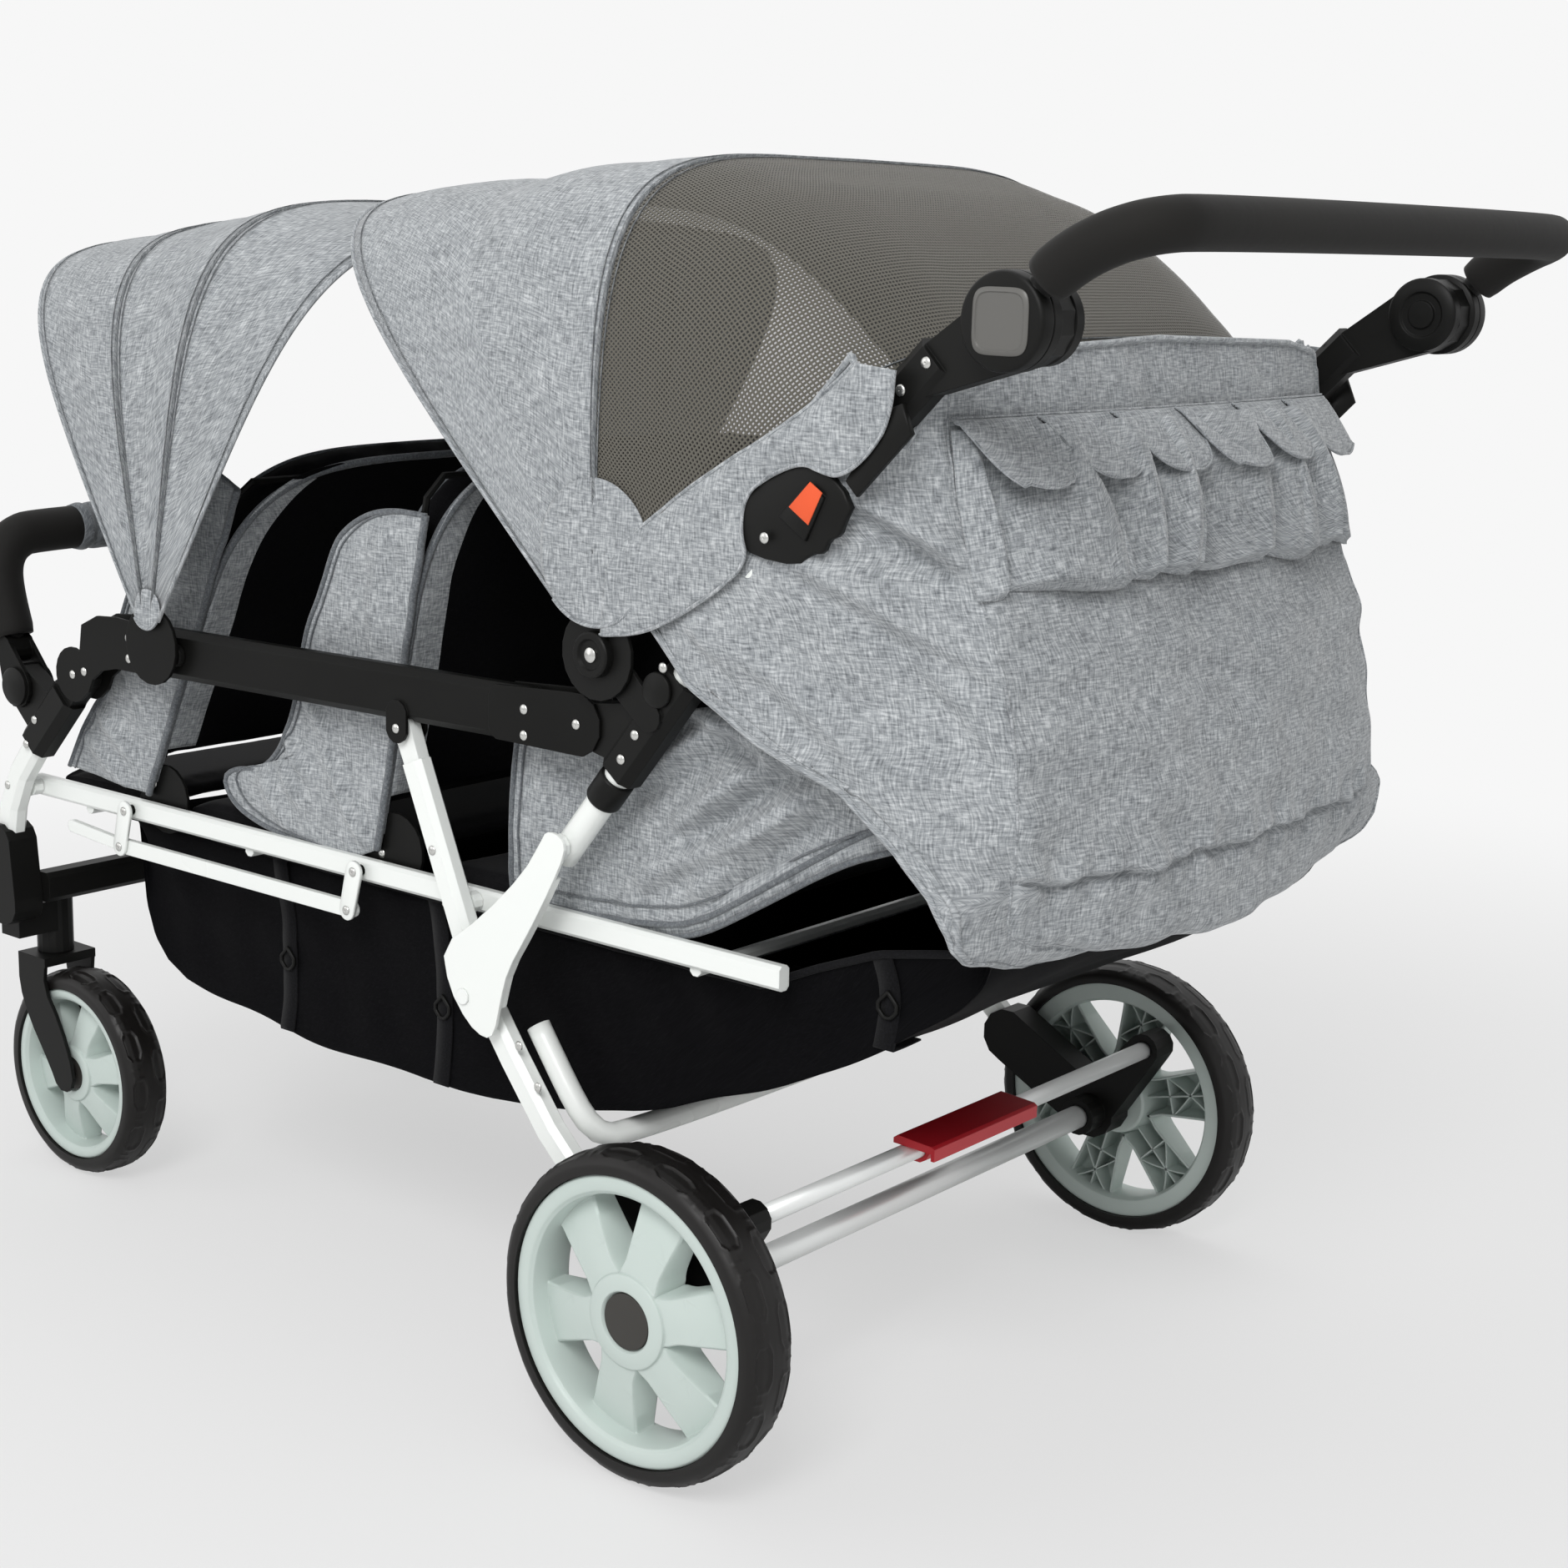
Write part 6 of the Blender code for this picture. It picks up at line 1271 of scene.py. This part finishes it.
def makeRowThree():
    skirt = {"x": 0.2700, "lowest": -0.006, "highest": 0.0190}
    outline = np.array([(-0.226, 0.4134), (-0.221, 0.5560), (-0.060, 0.5900), (0.050, 0.6120), (0.120, 0.6100),
                        (0.156, 0.5350)])
    lower = np.array([(-0.226, 0.4134), (-0.196, 0.4090), (-0.130, 0.4110), (-0.058, 0.4170), (-0.020, 0.4280),
                      (0.036, 0.4620), (0.112, 0.5110), (0.156, 0.5350)])
    top, low = spaced(rounded(outline[1:], 2), 120), spaced(rounded(lower, 2), 120)
    v = np.linspace(0, 1, 60)[None, :, None]
    flat = low[:, None] * (1 - v) + top[:, None] * v
    # Folds run from the cover's edge down towards the tube, measured in the side plane
    folds = (((-0.037, 0.600), (0.060, 0.570), 0.012, 0.0128), ((0.058, 0.572), (-0.036, 0.505), 0.012, 0.0160),
             ((0.110, 0.562), (-0.020, 0.455), 0.014, 0.0144), ((0.005, 0.590), (-0.088, 0.530), 0.011, 0.0112),
             ((0.080, 0.535), (-0.080, 0.450), 0.011, 0.0096), ((-0.070, 0.570), (-0.150, 0.470), 0.014, 0.0080),
             ((-0.190, 0.550), (-0.180, 0.430), 0.010, 0.0048))
    patches, tapes = [], []
    for sign in (1, -1):
        lift = 0.0040 * np.sin(math.pi * v[..., 0]) + 0 * flat[..., 0]
        lift += creases(flat, folds, (0.54, -1.08), 0.7)
        points = np.stack([sign * (skirt["x"] + 0 * lift), flat[..., 0], flat[..., 1]], -1)
        lift += 0.0022 * ripple(points * np.array([1, 1.5, 0.8]), 61, 0.06) + 0.0008 * ripple(points, 62, 0.02)
        lift *= np.clip(v[..., 0] / 0.05, 0, 1)
        points[..., 0] += sign * np.clip(lift, skirt["lowest"], skirt["highest"])
        points = fromAxle(points)
        patches.append(patch(points, inside=fromAxle((0, -0.05, 0.5)), level=(1, 2)))
        out = np.array([sign * 0.0012, 0, 0])
        for line, size in ((points[:, 0], 0.0026), (points[0], 0.0026), (points[:, 5] + out, 0.0010),
                           (points[3] + out, 0.0010)):
            tapes.append(edging(line, size))
        # Second welt: the bench cover's lower edge, which hangs just below the skirt at the rear
        welt = spaced(rounded(np.array([(-0.150, 0.4060), (-0.060, 0.4080), (-0.020, 0.4190), (0.036, 0.4520),
                                        (0.113, 0.4990), (0.160, 0.5170)]), 2), 80)
        strip = np.stack([np.stack([np.full(80, sign * x), welt[:, 0] + dy, welt[:, 1] + dz], 1) for x, dy, dz in
                          ((0.2690, 0.002, -0.001), (0.2700, -0.002, 0.012), (0.2680, -0.004, 0.022))], 1)
        patches.append(patch(fromAxle(strip), inside=fromAxle((0, -0.05, 0.5))))
        tapes.append(edging(fromAxle(strip[:, 0]), 0.0024))
    wing = makePiece("bench_3_skirt", patches, melange, "seat_frame", ("row_3_liner",), thickness=0.0018)
    bind = makePiece("bench_3_binding", tapes, piping, "seat_frame")
    for piece in (wing, bind):
        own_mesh(piece)


makeRowThree()
print("seats made")


# Basket: one black sheet slung under the seat frame, with soft folds and a hem

def makeBasket():
    basket = {"halfWidth": 0.252, "floorShare": 0.62, "flare": 0.006, "straps": (-0.540, -0.330, 0.150)}
    floor = basket["floorShare"]
    line = np.array([(-0.756, 0.3860), (-0.741, 0.240), (-0.600, 0.2210), (-0.465, 0.2120), (-0.291, 0.2110),
                     (-0.118, 0.2370), (0.027, 0.2920), (0.108, 0.3310), (0.184, 0.3800), (0.232, 0.4150),
                     (0.240, 0.4480)])
    path = spaced(rounded(line, 2), 150)
    top = np.interp(path[:, 0], (-0.756, -0.70, 0.03, 0.085, 0.145, 0.240),
                    (0.386, 0.386, 0.384, 0.409, 0.433, 0.452))
    v = np.linspace(-1, 1, 121)[None]
    # Across the basket: up one side, over the sagging floor and up the other
    wall = np.clip((np.abs(v) - floor) / (1 - floor), 0, 1)
    x = np.sign(v) * (basket["halfWidth"] * np.clip(np.abs(v) / floor, 0, 1) ** 0.85 + basket["flare"] * wall)
    z = path[:, 1:] + (top - path[:, 1])[:, None] * wall ** 1.2
    z = z + 0.004 * np.clip(1 - np.abs(v) / floor, 0, 1)
    y = path[:, :1] + 0 * v
    points = np.stack([x + 0 * y, y, z], -1)
    sway = ripple(points * np.array([1, 1, 1.4]), 71, 0.13)
    fine = ripple(points * np.array([1, 1, 0.5]), 72, 0.045)
    points[..., 0] -= np.sign(points[..., 0]) * (0.007 * np.sin(math.pi * wall) + 0.004 * np.abs(sway) * wall
                                                 + 0.0022 * (fine + 0.6) * np.sin(math.pi * wall))
    points[..., 2] += 0.003 * (1 + sway) * (1 - wall)
    points = fromAxle(points)
    inside = fromAxle((0, -0.25, 0.34))
    bag = makePiece("basket_cloth", [patch(points, inside=inside)], blackSheet, "seat_frame",
                    ("basket",), thickness=0.0015)
    hems = [edging(points[:, k], 0.0032) for k in (0, -1)]
    hems += [tube(points[-1], 0.0030, 10, reference=(0, 1, 0)), tube(points[0], 0.0030, 10, reference=(0, 1, 0))]
    # Flat webbing straps sewn down the sides, each with its ladder buckle, and the bound front edges
    straps, buckles = [], []
    for at in basket["straps"]:
        k = int(np.argmin(np.abs(path[:, 0] - at)))
        for sign, wallRows in ((-1, slice(0, 30)), (1, slice(120, 90, -1))):
            run = points[k, wallRows] + np.array([sign * 0.0020, 0, 0])
            strip = np.stack([run + np.array([0, dy, 0]) for dy in (-0.0095, 0.0095)], 1)
            straps.append(patch(strip, inside=inside))
            spot = run[12]
            frameRing = [(0, 0, 0.0135), (0, 0.0135, 0), (0, 0, -0.0135), (0, -0.0135, 0)]
            ring = spot + np.array([sign * 0.0025, 0, 0]) + np.array(frameRing) * 0.85
            buckles.append(facing(tube(spaced(rounded(np.concatenate([ring, ring[:1]]), 1), 24)[:-1], 0.0018, 8,
                                       reference=(1, 0.01, 0), closed=True)))
    rim = makePiece("basket_hem", hems, webbing, "seat_frame")
    strap = makePiece("basket_straps", straps, webbing, "seat_frame", thickness=0.0014)
    buckle = makePiece("basket_buckles", buckles, blackNylon, "seat_frame")
    for piece in (bag, rim, strap, buckle):
        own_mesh(piece)


makeBasket()
print("basket made")


# Rivets

def makeRivets():
    rivet = {"head": 0.0042, "height": 0.0016}
    profile = [(0, 0.0001), (0, 1.0), (0.35, 0.98), (0.75, 0.72), (1.0, 0.30), (1.0, 0.0001)]
    places = {
        "side_frame": [(0.3123, -0.768, 0.530), (0.3123, -0.115, 0.576), (0.3123, -0.321, 0.543),
                       (0.3123, -0.681, 0.575), (0.3123, -0.681, 0.556), (0.3123, -0.750, 0.535),
                       (0.3123, -0.172, 0.580), (0.3123, -0.172, 0.559)],
        "push_frame": [(0.3137, -0.045, 0.600), (0.3137, -0.052, 0.577), (0.3137, -0.066, 0.556),
                       (0.3165, -0.022, 0.633), (0.3137, 0.2075, 0.8695), (0.3137, 0.187, 0.850),
                       (0.3286, 0.083, 0.741)],
        "rear_frame": [(0.310, -0.280, 0.446), (0.310, -0.178, 0.3001), (0.310, -0.156, 0.270)],
        "front_frame": [(0.3137, -0.830, 0.478), (0.3137, -0.845, 0.452), (0.310, -0.884, 0.405)],
        "row_1_back": [(0.2671, -0.709, 0.428)],
        "row_2_back": [(0.2671, -0.390, 0.4165)],
    }
    for body, spots in places.items():
        parts = []
        for x, y, z in spots:
            for sign in (1, -1):
                parts.append(lathe([(a * rivet["height"], b * rivet["head"] if b > 0.001 else b) for a, b in profile],
                                   fromAxle((sign * x, y, z)), 20, (sign, 0, 0)))
        makePiece(f"rivets_{body}", parts, rivetSteel, body)


makeRivets()
print("rivets made")
